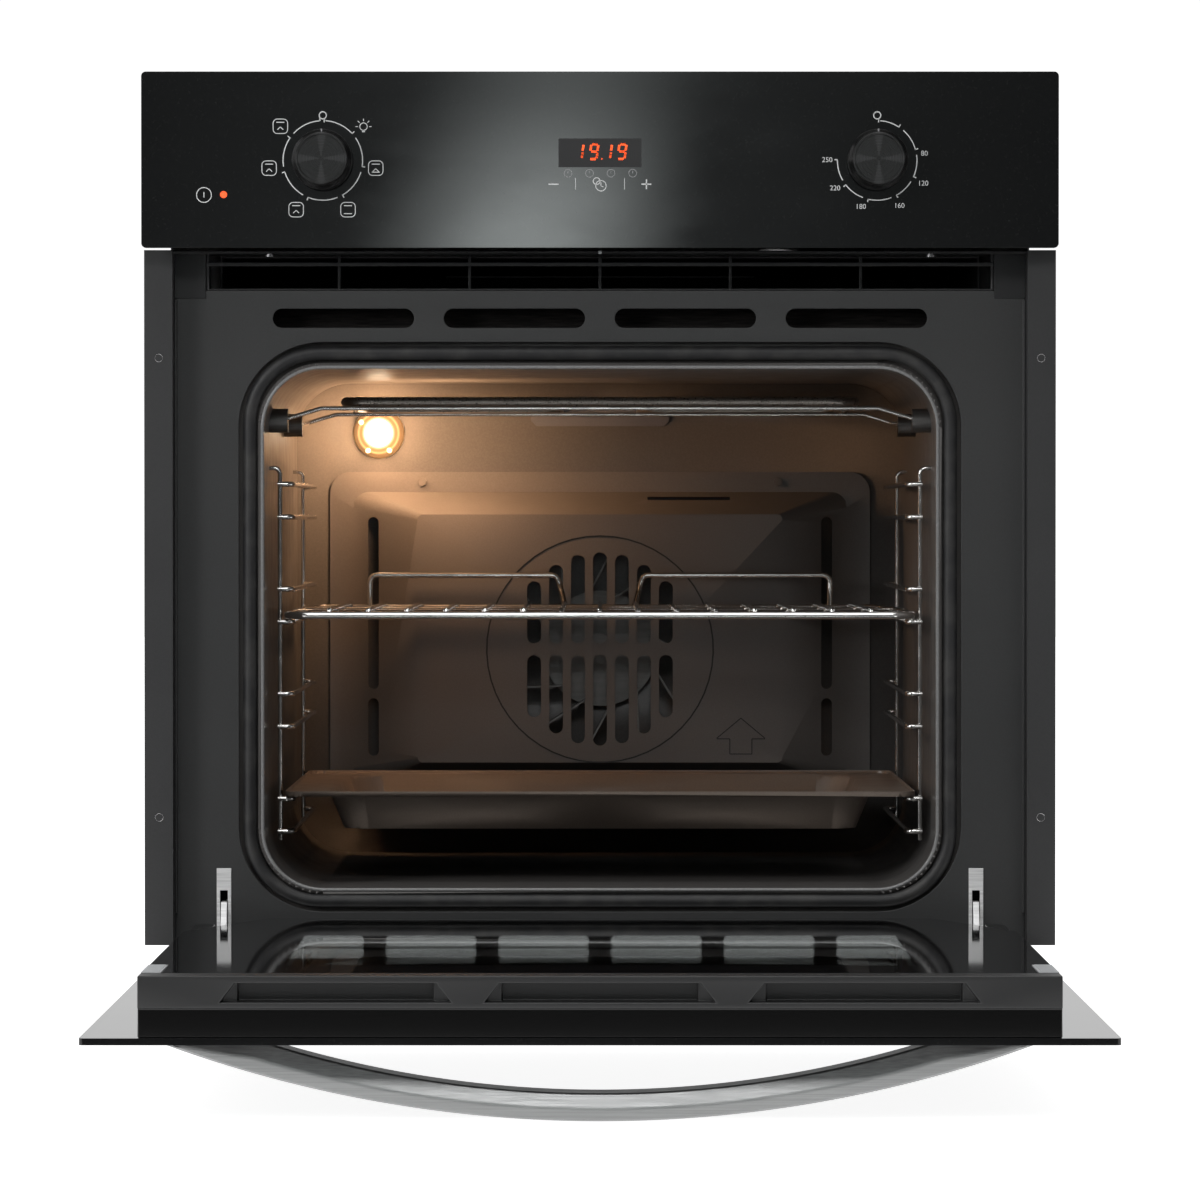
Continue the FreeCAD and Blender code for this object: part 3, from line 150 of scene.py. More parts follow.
# %% The Finish class
class Finish:
    """A material, its Principled shader and the nodes that vary it."""

    def __init__(self, name, colour, roughness, metallic=0.0, **steady):
        self.material = bpy.data.materials.new(name)
        self.material.use_nodes = True
        self.tree = self.material.node_tree
        self.shader = self.tree.nodes["Principled BSDF"]
        self.output = self.tree.nodes["Material Output"]
        values = {"Base Color": (*colour, 1.0), "Roughness": roughness, "Metallic": metallic,
                  **steady}
        for socket, value in values.items():
            self.shader.inputs[socket].default_value = value
        self.place = Wave(self.tree, self.tree.nodes.new("ShaderNodeTexCoord").outputs["Object"])

    def node(self, kind, settings=(), **inputs):
        """Any other node: its settings first, then the values and links of its sockets."""
        item = self.tree.nodes.new(kind)
        for setting, value in dict(settings).items():
            setattr(item, setting, value)
        for name, value in inputs.items():
            socket = item.inputs[name.replace("_", " ")]
            if isinstance(value, Wave):
                self.tree.links.new(value.socket, socket)
            else:
                socket.default_value = value
        return item

    def stretched(self, x=1.0, y=1.0, z=1.0):
        """The surface's place, stretched to draw a grain out along an axis."""
        mapping = self.node("ShaderNodeMapping", Vector=self.place, Scale=(x, y, z))
        return Wave(self.tree, mapping.outputs["Vector"])

    def noise(self, scale, detail=3.0, place=None):
        item = self.node("ShaderNodeTexNoise", Vector=place or self.place, Scale=scale,
                         Detail=detail)
        return Wave(self.tree, item.outputs["Fac"])

    def cells(self, scale, output="Distance", place=None):
        item = self.node("ShaderNodeTexVoronoi", Vector=place or self.place, Scale=scale)
        return Wave(self.tree, item.outputs[output])

    def ranged(self, wave, low, high, bottom=0.0, top=1.0, how="LINEAR"):
        """Bring a wave's span from low..high to bottom..top, with no overshoot."""
        item = self.node("ShaderNodeMapRange", {"interpolation_type": how}, Value=wave)
        for socket, value in zip(("From Min", "From Max", "To Min", "To Max"),
                                 (low, high, bottom, top)):
            item.inputs[socket].default_value = value
        return Wave(self.tree, item.outputs["Result"])

    def blend(self, factor, first, second):
        """A colour between two colours."""
        item = self.node("ShaderNodeMix", {"data_type": "RGBA"})
        self.tree.links.new(factor.socket, item.inputs["Factor"])
        colours = [socket for socket in item.inputs if socket.type == "RGBA"]
        for socket, value in zip(colours, (first, second)):
            if isinstance(value, Wave):
                self.tree.links.new(value.socket, socket)
            else:
                socket.default_value = (*value, 1.0)
        result = next(socket for socket in item.outputs if socket.type == "RGBA")
        return Wave(self.tree, result)

    def axis(self, letter):
        """One coordinate of the surface's place."""
        item = self.node("ShaderNodeSeparateXYZ", Vector=self.place)
        return Wave(self.tree, item.outputs[letter])

    def link(self, socket, wave):
        self.tree.links.new(wave.socket, self.shader.inputs[socket])

    def bumped(self, wave, depth, strength=1.0):
        """Raise the surface by a wave, in metres."""
        item = self.node("ShaderNodeBump", Height=wave, Distance=depth, Strength=strength)
        self.tree.links.new(item.outputs["Normal"], self.shader.inputs["Normal"])


# %% [markdown]
# ## Black fascia glass
# The fascia and the outer door pane are toughened glass, printed black behind. The shader needs
# only the gloss of the front face; faint smears in the roughness keep it from looking like paint.

# %% Fascia glass
def fascia_glass():
    glass = Finish("black_glass", (0.006, 0.0062, 0.0066), 0.05, **{"IOR": 1.45})
    smear = glass.noise(14, 4, glass.stretched(1, 1, 2.5))
    glass.link("Roughness", glass.ranged(smear, 0.3, 0.75, 0.035, 0.09))
    dust = glass.ranged(glass.noise(900, 1), 0.62, 0.75)
    glass.link("Base Color", glass.blend(dust, (0.0055, 0.0057, 0.006), (0.012, 0.012, 0.012)))
    return glass.material


# %% [markdown]
# ## Powder coat
# The front frame and trims are sheet steel under dark satin powder. Powder melts into a fine
# orange peel, which is a small noise bump with a slightly uneven sheen.

# %% Powder coat
def powder_coat(name, colour, roughness=0.42, peel=0.00003):
    coat = Finish(name, colour, roughness)
    grain = coat.noise(1400, 2)
    coat.bumped(grain, peel)
    cloud = coat.noise(9, 3)
    coat.link("Roughness", coat.ranged(cloud, 0.3, 0.7, roughness - 0.05, roughness + 0.05))
    lighter = tuple(channel * 1.18 for channel in colour)
    coat.link("Base Color", coat.blend(coat.ranged(grain, 0.35, 0.65), colour, lighter))
    return coat.material


# %% [markdown]
# ## Oven enamel
# Vitreous enamel is dark glass fused to steel. Up close it has tiny pale flecks and a slow
# ripple, so a fine noise gives the flecks and a soft one gives the flow of the glaze.

# %% Oven enamel
def oven_enamel(name, colour, fleck, roughness=0.22):
    enamel = Finish(name, colour, roughness)
    flecks = enamel.ranged(enamel.noise(900, 2), 0.35, 0.75)
    enamel.link("Base Color", enamel.blend(flecks, colour, fleck))
    flow = enamel.noise(55, 3)
    enamel.link("Roughness", enamel.ranged(flow, 0.3, 0.7, roughness - 0.04, roughness + 0.06))
    enamel.bumped(flow + enamel.noise(600, 2) * 0.06, 0.00001)
    return enamel.material


# %% [markdown]
# ## The door's tip
# The strip along the door's tip is moulded in one piece, grained above its step and polished
# below it. One mask on the height of the surface chooses the roughness of each band.

# %% Two-band plastic
def tip_plastic():
    tip = Finish("tip_plastic", (0.012, 0.012, 0.0125), 0.36)
    polished = tip.axis("Z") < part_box("door_top_trim")[1].z - 0.0189
    grain = tip.noise(1100, 2)
    tip.link("Roughness", tip.ranged(polished + grain * 0.1, 0.0, 1.05, 0.40, 0.07))
    tip.link("Base Color", tip.blend(polished, (0.017, 0.017, 0.0175), (0.004, 0.004, 0.004)))
    tip.bumped(grain * (1 - polished), 0.00004)
    return tip.material


# %% [markdown]
# ## Metals
# Chrome wire is nearly a mirror with a faint haze. Rolled or brushed steel is a metal whose
# scratches all run one way, which is one noise stretched along the grain.

# %% Chrome, brushed steel and zinc sheet
def chrome(name, colour, low, high):
    plate = Finish(name, colour, low, 1.0)
    haze = plate.noise(120, 3)
    plate.link("Roughness", plate.ranged(haze, 0.35, 0.7, low, high))
    plate.link("Base Color", plate.blend(plate.ranged(plate.noise(45, 2), 0.4, 0.7), colour,
                                         tuple(channel * 0.8 for channel in colour)))
    return plate.material


def brushed_steel(name, colour, grain, roughness=0.28, scratch=0.00002, metallic=1.0):
    steel = Finish(name, colour, roughness, metallic)
    lines = steel.noise(1.0, 4, steel.stretched(*grain))
    steel.link("Roughness", steel.ranged(lines, 0.3, 0.7, roughness - 0.08, roughness + 0.1))
    darker = tuple(channel * 0.78 for channel in colour)
    steel.link("Base Color", steel.blend(steel.ranged(lines, 0.35, 0.65), darker, colour))
    steel.bumped(lines, scratch)
    return steel.material


def zinc_sheet():
    zinc = Finish("zinc_sheet", (0.52, 0.53, 0.54), 0.38, 1.0)
    spangle = zinc.cells(170, "Color")
    shade = zinc.node("ShaderNodeRGBToBW", Color=spangle)
    tone = Wave(zinc.tree, shade.outputs["Val"])
    zinc.link("Base Color", zinc.blend(tone, (0.48, 0.49, 0.50), (0.57, 0.58, 0.59)))
    zinc.link("Roughness", zinc.ranged(tone + zinc.noise(300, 2) * 0.3, 0.2, 1.1, 0.36, 0.46))
    return zinc.material


# %% [markdown]
# ## Plastics, rubber, wool and small finishes
# Moulded black plastic has a fine spark-eroded grain. Rubber is duller, with a bloom of dust.
# The mineral wool has a black glass-fibre facing, drawn as noise stretched along its fibres.

# %% Plastics, rubber and wool
def moulded(name, colour, roughness, grain=900, depth=0.00004):
    plastic = Finish(name, colour, roughness)
    texture = plastic.noise(grain, 2)
    plastic.bumped(texture, depth)
    plastic.link("Roughness", plastic.ranged(texture, 0.3, 0.7, roughness - 0.05,
                                             roughness + 0.08))
    return plastic.material


def spun_knob():
    """Black plastic whose turned face has a painted highlight along two opposite wedges."""
    knob = Finish("knob_plastic", (0.006, 0.006, 0.006), 0.3)
    place = KNOB_PLACES["temperature"]
    across, up = knob.axis("X").size() - place.x, knob.axis("Z") - place.z
    distance = (across * across + up * up).root()
    wedge = ((across * across - up * up) / (across * across + up * up + 0.0000001)).size()
    face = knob.axis("Y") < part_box("function_knob")[0].y + 0.0008
    # Painted highlight: the base colour is lighter in two opposite wedges of the face, where a turned face would
    # shine.
    painted_wedge_highlight = knob.ranged(wedge, 0.86, 1.0) * face
    rings = knob.node("ShaderNodeTexNoise", {"noise_dimensions": "1D"}, W=distance, Scale=4000.0,
                      Detail=2.0)
    turned_lines = Wave(knob.tree, rings.outputs["Fac"])
    knob.link("Base Color", knob.blend(painted_wedge_highlight * turned_lines, (0.005, 0.005, 0.005),
                                       (0.045, 0.045, 0.046)))
    knob.link("Roughness", knob.ranged(turned_lines, 0.3, 0.7, 0.2, 0.36))
    knob.bumped(turned_lines * face, 0.000012)
    return knob.material


def seal_rubber():
    rubber = Finish("seal_rubber", (0.018, 0.018, 0.019), 0.5)
    bloom = rubber.ranged(rubber.noise(60, 4), 0.45, 0.7)
    rubber.link("Base Color", rubber.blend(bloom, (0.014, 0.014, 0.015), (0.035, 0.034, 0.033)))
    rubber.bumped(rubber.noise(1800, 2), 0.00005)
    return rubber.material


def mineral_wool():
    wool = Finish("mineral_wool", (0.02, 0.018, 0.017), 0.95)
    fibres = wool.noise(1.0, 5, wool.stretched(60, 700, 700))
    wool.link("Base Color", wool.blend(wool.ranged(fibres, 0.3, 0.7), (0.008, 0.007, 0.007),
                                       (0.035, 0.03, 0.028)))
    wool.bumped(fibres, 0.0012)
    return wool.material


# %% [markdown]
# ## Glass that lets light through
# The inner pane has a black printed border and a tinted, mirror-like middle. A mask made from
# the surface's own place chooses between two shaders, so the border is as opaque as real print.

# %% Inner pane and clear glass
INNER_LOW, INNER_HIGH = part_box("door_inner_glass")


def inner_pane():
    pane = Finish("inner_pane", (0.80, 0.81, 0.80), 0.02, **{"Transmission Weight": 1.0,
                                                              "IOR": 1.3})
    pane.link("Roughness", pane.ranged(pane.noise(40, 3), 0.3, 0.7, 0.0, 0.004))
    ink = pane.tree.nodes.new("ShaderNodeBsdfPrincipled")
    ink.inputs["Base Color"].default_value = (0.006, 0.006, 0.0065, 1)
    ink.inputs["Roughness"].default_value = 0.05
    across = pane.axis("X").size()
    border_x = across > 0.185
    border_tip = pane.axis("Y") < INNER_LOW.y + 0.055
    border_heel = pane.axis("Y") > INNER_HIGH.y - 0.035
    mask = border_x.largest(border_tip).largest(border_heel)
    mix = pane.tree.nodes.new("ShaderNodeMixShader")
    pane.tree.links.new(mask.socket, mix.inputs[0])
    pane.tree.links.new(pane.shader.outputs[0], mix.inputs[1])
    pane.tree.links.new(ink.outputs[0], mix.inputs[2])
    pane.tree.links.new(mix.outputs[0], pane.output.inputs["Surface"])
    return pane.material


def clear_glass(name, tint, roughness=0.0):
    glass = Finish(name, tint, roughness, **{"Transmission Weight": 1.0, "IOR": 1.5})
    glass.link("Roughness", glass.ranged(glass.noise(60, 3), 0.3, 0.7, roughness,
                                         roughness + 0.004))
    return glass.material


# %% [markdown]
# ## Things that glow
# The lamp, the clock digits and the small indicator give light. Their glow is an emission colour that a noise or a
# falloff varies, as a real filament or diffuser does. The same glow also paints light where there is no lamp: a
# glint on the lamp's clips and a pale strip behind the door rail's slots.

# %% Glowing finishes
LAMP_LOW, LAMP_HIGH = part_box("lamp_lens")
LAMP_X, LAMP_Z = (LAMP_LOW.x + LAMP_HIGH.x) / 2, (LAMP_LOW.z + LAMP_HIGH.z) / 2


def lamp_glass():
    """A lit dome: white over the bulb, amber towards the rim, with a paler moulded ring."""
    dome = Finish("lamp_glow", (0.10, 0.06, 0.03), 0.12, **{"Emission Strength": 8.0})
    across, up = dome.axis("X") - LAMP_X, dome.axis("Z") - LAMP_Z
    distance = (across * across + up * up).root()
    core = dome.ranged(distance, 0.0040, 0.0125, 1.0, 0.0, "SMOOTHSTEP")
    ring = dome.ranged((distance - 0.0145).size(), 0.0, 0.0012, 1.0, 0.0)
    rim = dome.blend(ring, (0.055, 0.026, 0.0095), (0.15, 0.085, 0.036))
    dome.link("Emission Color", dome.blend(core, rim, (1.0, 0.90, 0.66)))
    return dome.material


def glowing(name, colour, strength, spread=0.15):
    lit = Finish(name, colour, 0.3, **{"Emission Strength": strength})
    ripple = lit.ranged(lit.noise(350, 2), 0.3, 0.7)
    dimmer = tuple(channel * (1 - spread) for channel in colour)
    lit.link("Emission Color", lit.blend(ripple, dimmer, colour))
    return lit.material


# %% [markdown]
# ## The list of finishes
# All the finishes are made once, by name, so that pieces of one stuff share one material.
# Colours are linear values, which is why even a pale enamel has a small number.

# %% Every finish the oven needs
FINISH = {
    "powder": powder_coat("powder_coat", (0.033, 0.0333, 0.0337), 0.36),
    "trim": powder_coat("trim_paint", (0.030, 0.030, 0.031), 0.38),
    "door_paint": powder_coat("door_paint", (0.008, 0.008, 0.0085), 0.30),
    "zinc": zinc_sheet(),
    "fascia": fascia_glass(),
    "middle": clear_glass("middle_pane", (0.86, 0.9, 0.88)),
    "inner": inner_pane(),
    "plastic": moulded("black_plastic", (0.009, 0.009, 0.010), 0.38),
    "tip": tip_plastic(),
    "knob": spun_knob(),
    "enamel": oven_enamel("cavity_enamel", (0.092, 0.087, 0.084), (0.112, 0.106, 0.102), 0.34),
    "baffle": oven_enamel("baffle_enamel", (0.135, 0.123, 0.115), (0.15, 0.139, 0.133), 0.34),
    # Painted shade: a near-black enamel that stands for the shade in the fan cover's pressings.
    "pressing_painted_shade": oven_enamel("pressing_painted_shade_enamel", (0.012, 0.011, 0.011), (0.02, 0.02, 0.02), 0.35),
    # Partly painted highlight: the lip's enamel is paler than the cavity's to draw the light line along the rolled
    # edge, which also catches real reflections.
    "lip": oven_enamel("lip_enamel_painted_highlight", (0.20, 0.20, 0.20), (0.25, 0.25, 0.25), 0.22),
    "tray_enamel": oven_enamel("tray_enamel", (0.17, 0.135, 0.11), (0.19, 0.155, 0.13), 0.34),
    "wool": mineral_wool(),
    # Painted light: a pale strip behind the rail's slots that glows, though it is no lamp.
    "painted_glow_strip": glowing("slot_painted_glow", (0.95, 1.0, 1.0), 0.75),
    "fan": brushed_steel("fan_steel", (0.24, 0.235, 0.23), (60, 60, 400), 0.45),
    "flange": powder_coat("flange_paint", (0.115, 0.120, 0.140), 0.5),
    "plate": brushed_steel("zinc_plate", (0.92, 0.92, 0.92), (30, 30, 900), 0.45, metallic=0.4),
    # Painted shade: the air duct is near black so that the vent behind the outlet trim reads as shade.
    "duct_painted_shade": powder_coat("duct_painted_shade_coat", (0.006, 0.006, 0.006), 0.6),
    "rubber": seal_rubber(),
    "chrome": chrome("chrome_wire", (0.90, 0.89, 0.87), 0.08, 0.22),
    "heater": brushed_steel("heater_sheath", (0.34, 0.31, 0.28), (900, 40, 900), 0.32),
    "handle": brushed_steel("satin_steel", (0.40, 0.405, 0.405), (12, 1500, 1500), 0.38, 0.000008),
    "steel": brushed_steel("plated_steel", (0.55, 0.55, 0.56), (400, 400, 60), 0.3),
    "lens": lamp_glass(),
    # Painted glint: the lamp's clips glow as if they caught the lamp's light.
    "spark": glowing("lamp_clip_painted_glint", (1.0, 0.74, 0.4), 2.2),
    "bulb": glowing("filament_glow", (1.0, 0.85, 0.6), 20.0),
    "digits": glowing("clock_digits", (1.0, 0.125, 0.035), 2.1, 0.25),
    "amber": glowing("indicator_amber", (1.0, 0.10, 0.025), 1.2, 0.3),
    "ceramic": moulded("lamp_ceramic", (0.75, 0.73, 0.68), 0.7, 300, 0.0001),
    "board": moulded("board_resin", (0.02, 0.12, 0.05), 0.4, 200, 0.0001),
    "display": moulded("display_filter", (0.020, 0.020, 0.021), 0.5, 3000, 0.000002),
    "ink": moulded("white_ink", (0.75, 0.76, 0.76), 0.45, 1500, 0.00001),
    "faint_ink": moulded("grey_ink", (0.34, 0.34, 0.35), 0.45, 1500, 0.00001),
    "clip": moulded("clip_plastic", (0.42, 0.43, 0.44), 0.4),
}
print("made", len(FINISH), "finishes")

# %% [markdown]
# ## Which piece has which finish
# A CAD piece keeps its mesh; only the material in its slot changes. Pieces that the eye meets
# also get softened edges, in the next step.

# %% Paint the CAD pieces
PAINTED = {
    "powder": ("front_frame",),
    "trim": ("side_panel_left", "side_panel_right"),
    "door_paint": ("door_side_left", "door_side_right", "door_bottom_rail"),
    "zinc": ("top_cover", "rear_panel", "base_pan", "blower_housing",
             "hinge_channel_left", "hinge_channel_right"),
    "fascia": ("control_panel", "door_outer_glass"),
    "middle": ("door_middle_glass",),
    "inner": ("door_inner_glass",),
    "plastic": ("panel_carrier", "air_outlet_trim", "outlet_end_caps", "function_switch",
                "thermostat", "terminal_block"),
    "tip": ("door_top_trim",),
    "knob": ("function_knob", "temperature_knob"),
    "enamel": ("cavity_liner",),
    "baffle": ("fan_baffle", "baffle_screws"),
    "tray_enamel": ("baking_tray",),
    "wool": ("insulation_slabs",),
    "rubber": ("door_gasket",),
    "chrome": ("side_rack_left", "side_rack_right", "wire_shelf", "element_support"),
    "heater": ("grill_element", "bottom_element"),
    "handle": ("door_handle",),
    "steel": ("hinge_pins", "handle_screws", "outlet_screws", "function_spindle",
              "temperature_spindle", "blower_rotor", "fan_motor", "blower_motor"),
    "plate": ("hinge_arm_left", "hinge_arm_right", "hinge_receivers"),
    "fan": ("convection_fan", "wall_nuts"),
    "flange": ("element_flange",),
    "duct_painted_shade": ("air_duct",),
    "lens": ("lamp_lens",),
    "bulb": ("lamp_bulb",),
    "ceramic": ("lamp_socket",),
    "board": ("control_board",),
    "display": ("display_module",),
    "amber": ("indicator_lens",),
    "clip": ("glass_clips",),
}
for finish, nodes in PAINTED.items():
    for node in nodes:
        mesh = NODES[node].data
        mesh.materials.clear()
        mesh.materials.append(FINISH[finish])
print("painted", sum(len(nodes) for nodes in PAINTED.values()), "pieces")

# %% [markdown]
# ## Soft edges on folded and moulded parts
# No real edge is perfectly sharp, and a thin highlight along each edge is what makes a part
# look solid. The CAD mesh is loose triangles, so a copy is merged, its flat faces joined again,
# and its sharp edges bevelled. The copy then stands for the CAD piece.


def sharp_edges(form, angle):
    return [edge for edge in form.edges
            if len(edge.link_faces) == 2 and edge.calc_face_angle(0.0) > angle]


def softened(node, width, segments=2, flat=True):
    """A merged copy of a CAD piece with its sharp edges bevelled."""
    form = bmesh.new()
    form.from_mesh(NODES[node].data)
    bmesh.ops.remove_doubles(form, verts=form.verts, dist=1e-6)
    if flat:
        bmesh.ops.dissolve_limit(form, angle_limit=math.radians(1), verts=form.verts,
                                 edges=form.edges)
    if width:
        bmesh.ops.bevel(form, geom=sharp_edges(form, math.radians(35)), offset=width,
                        offset_type="OFFSET", affect="EDGES", segments=segments, profile=0.5,
                        material=-1, clamp_overlap=True)
    bmesh.ops.triangulate(form, faces=[face for face in form.faces if len(face.verts) > 4])
    mesh = bpy.data.meshes.new(node + "_soft")
    form.to_mesh(mesh)
    form.free()
    for material in NODES[node].data.materials:
        mesh.materials.append(material)
    piece = bpy.data.objects.new(node + "_finished", mesh)
    bpy.context.scene.collection.objects.link(piece)
    mesh.shade_smooth()
    mesh.set_sharp_from_angle(angle=math.radians(50 if width else 32))
    even = piece.modifiers.new("even_normals", "WEIGHTED_NORMAL")
    even.keep_sharp = True
    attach(piece, BODY_OF[node])
    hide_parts(node)
    return piece


# %% [markdown]
# ## How soft each edge is
# Folded sheet has an edge of about a third of a millimetre, ground glass a little more, and a
# moulding nearly one. Round wires and pressed shells need no bevel, only smooth shading.

# %% Soften the pieces that the eye meets
SOFT = {
    0.00045: ("front_frame",),
    0.0003: ("door_side_left", "door_side_right", "door_bottom_rail", "side_panel_left",
             "side_panel_right", "outlet_end_caps", "fan_baffle", "element_flange",
             "hinge_receivers"),
    0.0004: ("control_panel", "door_outer_glass", "door_inner_glass", "air_outlet_trim",
             "glass_clips", "terminal_block", "hinge_arm_left", "hinge_arm_right"),
    0.0008: ("door_top_trim", "panel_carrier"),
}
for width, nodes in SOFT.items():
    for node in nodes:
        softened(node, width)
for node in ("cavity_liner", "door_gasket", "wire_shelf", "side_rack_left", "side_rack_right",
             "element_support", "grill_element", "baking_tray", "wall_nuts", "lamp_lens",
             "baffle_screws", "bottom_element", "hinge_pins"):
    softened(node, 0.0, flat=False)
print("softened", sum(len(nodes) for nodes in SOFT.values()), "pieces")

# %% [markdown]
# ## Hanging a new piece on the oven
# Each new mesh gets its finish, smooth shading up to an angle, the body that it moves with and
# the material slot that it belongs to. One function does all four.

# %% Place a finished mesh
def placed(name, mesh, finish, body, angle=40):
    """Shade a finished mesh smoothly, colour it and hang it on a body of the oven."""
    mesh.materials.append(FINISH[finish])
    mesh.shade_smooth()
    mesh.set_sharp_from_angle(angle=math.radians(angle))
    piece = bpy.data.objects.new(name, mesh)
    bpy.context.scene.collection.objects.link(piece)
    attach(piece, body)
    return piece


# %% [markdown]
# ## The bow handle
# The handle is a stainless bow: the space between two arcs, with a flat front below and a facet
# above that leans back a little and so mirrors a different part of the room. A grid of two rows
# is laid along it and its rows are moved on to the arcs. Then it is extruded across, the facet
# is leaned, and a bevel modifier rounds the edges.

# %% Build the handle
HANDLE_LOW, HANDLE_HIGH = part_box("door_handle")
BOW_INNER_HALF, BOW_INNER_DROP = 198 * MM, 31 * MM
ROW_HEIGHTS = (0.0, 0.45, 1.0)
BAND, FACET_LEAN = 0.016, 0.0034

def arc_drop(x, half, drop):
    """How far below its chord an arc lies at a place across it."""
    radius = (half * half + drop * drop) / (2 * drop)
    return max(0.0, math.sqrt(radius * radius - x * x) - (radius - drop))


def build_handle():
    half = HANDLE_HIGH.x
    outer_drop = HANDLE_HIGH.z - HANDLE_LOW.z
    form = bmesh.new()
    grid = bmesh.ops.create_grid(form, x_segments=96, y_segments=2, size=half)
    lean = {}
    for vert in grid["verts"]:
        x = max(-half + 0.001, min(half - 0.001, vert.co.x))
        row = round(vert.co.y / half) + 1
        low = HANDLE_HIGH.z - arc_drop(x, half, outer_drop)
        high = HANDLE_HIGH.z
        if abs(x) < BOW_INNER_HALF:
            high -= arc_drop(x, BOW_INNER_HALF, BOW_INNER_DROP)
        vert.co = Vector((x, HANDLE_LOW.y, low + (high - low) * ROW_HEIGHTS[row]))
        if row == 2:
            lean[vert] = min(1.0, (high - low) / BAND) * FACET_LEAN
    back = bmesh.ops.extrude_face_region(form, geom=form.faces[:])
    moved = [item for item in back["geom"] if isinstance(item, bmesh.types.BMVert)]
    bmesh.ops.translate(form, verts=moved, vec=(0, HANDLE_HIGH.y - HANDLE_LOW.y, 0))
    for vert, amount in lean.items():
        vert.co.y += amount
    bmesh.ops.recalc_face_normals(form, faces=form.faces)
    mesh = bpy.data.meshes.new("handle_bow")
    form.to_mesh(mesh)
    form.free()
    bow = placed("handle_bow", mesh, "handle", "door", 70)
    soften = bow.modifiers.new("soft_edges", "BEVEL")
    soften.width = 0.0012
    soften.segments = 3
    soften.limit_method = "ANGLE"
    soften.angle_limit = math.radians(18)
    soften.use_clamp_overlap = False
    bow.modifiers.new("even_normals", "WEIGHTED_NORMAL").keep_sharp = True
    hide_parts("door_handle")
    return bow


print("handle has", len(build_handle().data.polygons), "faces")

# %% [markdown]
# ## Small turned and bent pieces
# The knobs are turned shapes: half a profile spun once round the knob's axis. The enamelled lip
# round the cavity mouth is a rolled edge, so it is a thin tube bent along a rounded rectangle.

# %% Helpers for turned and bent pieces
def turned(name, profile, centre, finish, body, steps=96):
    """Spin a profile of (radius, depth) round an axis that runs from front to back."""
    form = bmesh.new()
    verts = [form.verts.new((centre.x + radius, depth, centre.z)) for radius, depth in profile]
    edges = [form.edges.new(pair) for pair in zip(verts, verts[1:])]
    bmesh.ops.spin(form, geom=verts + edges, cent=centre, axis=(0, 1, 0),
                   angle=math.radians(360), steps=steps, use_merge=True)
    bmesh.ops.remove_doubles(form, verts=form.verts, dist=1e-7)
    bmesh.ops.recalc_face_normals(form, faces=form.faces)
    mesh = bpy.data.meshes.new(name)
    form.to_mesh(mesh)
    form.free()
    return placed(name, mesh, finish, body)


def rounded_corners(half, low, high, corner, y, segments=14):
    """The corners of an upright rounded rectangle, in order round it."""
    form = bmesh.new()
    bmesh.ops.create_grid(form, x_segments=1, y_segments=1, size=1)
    for vert in form.verts:
        vert.co = (vert.co.x * half, y, low if vert.co.y < 0 else high)
    bmesh.ops.bevel(form, geom=form.verts[:], offset=corner, offset_type="OFFSET",
                    affect="VERTICES", segments=segments, profile=0.5, material=-1)
    whole = max(form.faces, key=lambda face: face.calc_area())
    outline = [loop.vert.co.copy() for loop in whole.loops]
    form.free()
    return outline


def bent_tube(name, outline, radius, finish, body):
    """A closed tube along an outline."""
    curve = bpy.data.curves.new(name, "CURVE")
    curve.dimensions = "3D"
    curve.bevel_depth = radius
    curve.bevel_resolution = 5
    path = curve.splines.new("POLY")
    path.points.add(len(outline) - 1)
    for point, place in zip(path.points, outline):
        point.co = (*place, 1)
    path.use_cyclic_u = True
    source = bpy.data.objects.new(name + "_path", curve)
    mesh = bpy.data.meshes.new_from_object(source)
    mesh.name = name
    mesh.materials.clear()
    bpy.data.objects.remove(source)
    bpy.data.curves.remove(curve)
    return placed(name, mesh, finish, body)


# %% [markdown]
# ## The knobs and the rolled lip
# A knob's profile is written from the middle of its face outwards and down its skirt. A small
# pale pointer is set into the rim. The lip's outline is a bevelled rectangle.

# %% Turn the knobs and roll the mouth's lip
def knob_profile(nose, skirt):
    """From the middle of the face, over the rim and down the skirt, back to the middle."""
    return [(0.0, nose + 0.0006), (0.0150, nose + 0.0006), (0.0154, nose), (0.0164, nose),
            (0.0170, nose + 0.0007), (0.0171, nose + 0.0040), (0.0176, nose + 0.0050),
            (0.0190, nose + 0.0078), (0.0194, nose + 0.0090), (0.0194, skirt - 0.0008),
            (0.0188, skirt), (0.0, skirt)]


for side, place in KNOB_PLACES.items():
    low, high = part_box(side + "_knob")
    knob = turned(side + "_knob_turned", knob_profile(low.y, high.y), place, "knob",
                  side + "_dial")
    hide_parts(side + "_knob")
    pointer = bmesh.new()
    bmesh.ops.create_cube(pointer, size=1)
    for vert in pointer.verts:
        vert.co = (place.x + vert.co.x * 0.0009, low.y + 0.0078 + vert.co.y * 0.006,
                   place.z + 0.0182 + vert.co.z * 0.0022)
    mesh = bpy.data.meshes.new(side + "_pointer")
    pointer.to_mesh(mesh)
    pointer.free()
    placed(side + "_pointer", mesh, "faint_ink", side + "_dial")

LIP_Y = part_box("cavity_liner")[0].y
# The lip's pale enamel is partly a painted highlight along the rolled edge.
bent_tube("mouth_lip", rounded_corners(0.2217, 0.0613, 0.4047, 0.0397, LIP_Y + 0.0005), 0.0012,
          "lip", "cabinet")
print("lip at y =", round(LIP_Y, 4))

# %% [markdown]
# ## Little things round the oven
# Plugs close the four cabinet-screw holes until the oven is fitted. A pale strip that glows, as painted light,
# lies behind the slots of the door's bottom rail. Three spring clips hold the lamp glass; they glow as a painted
# glint of its light.

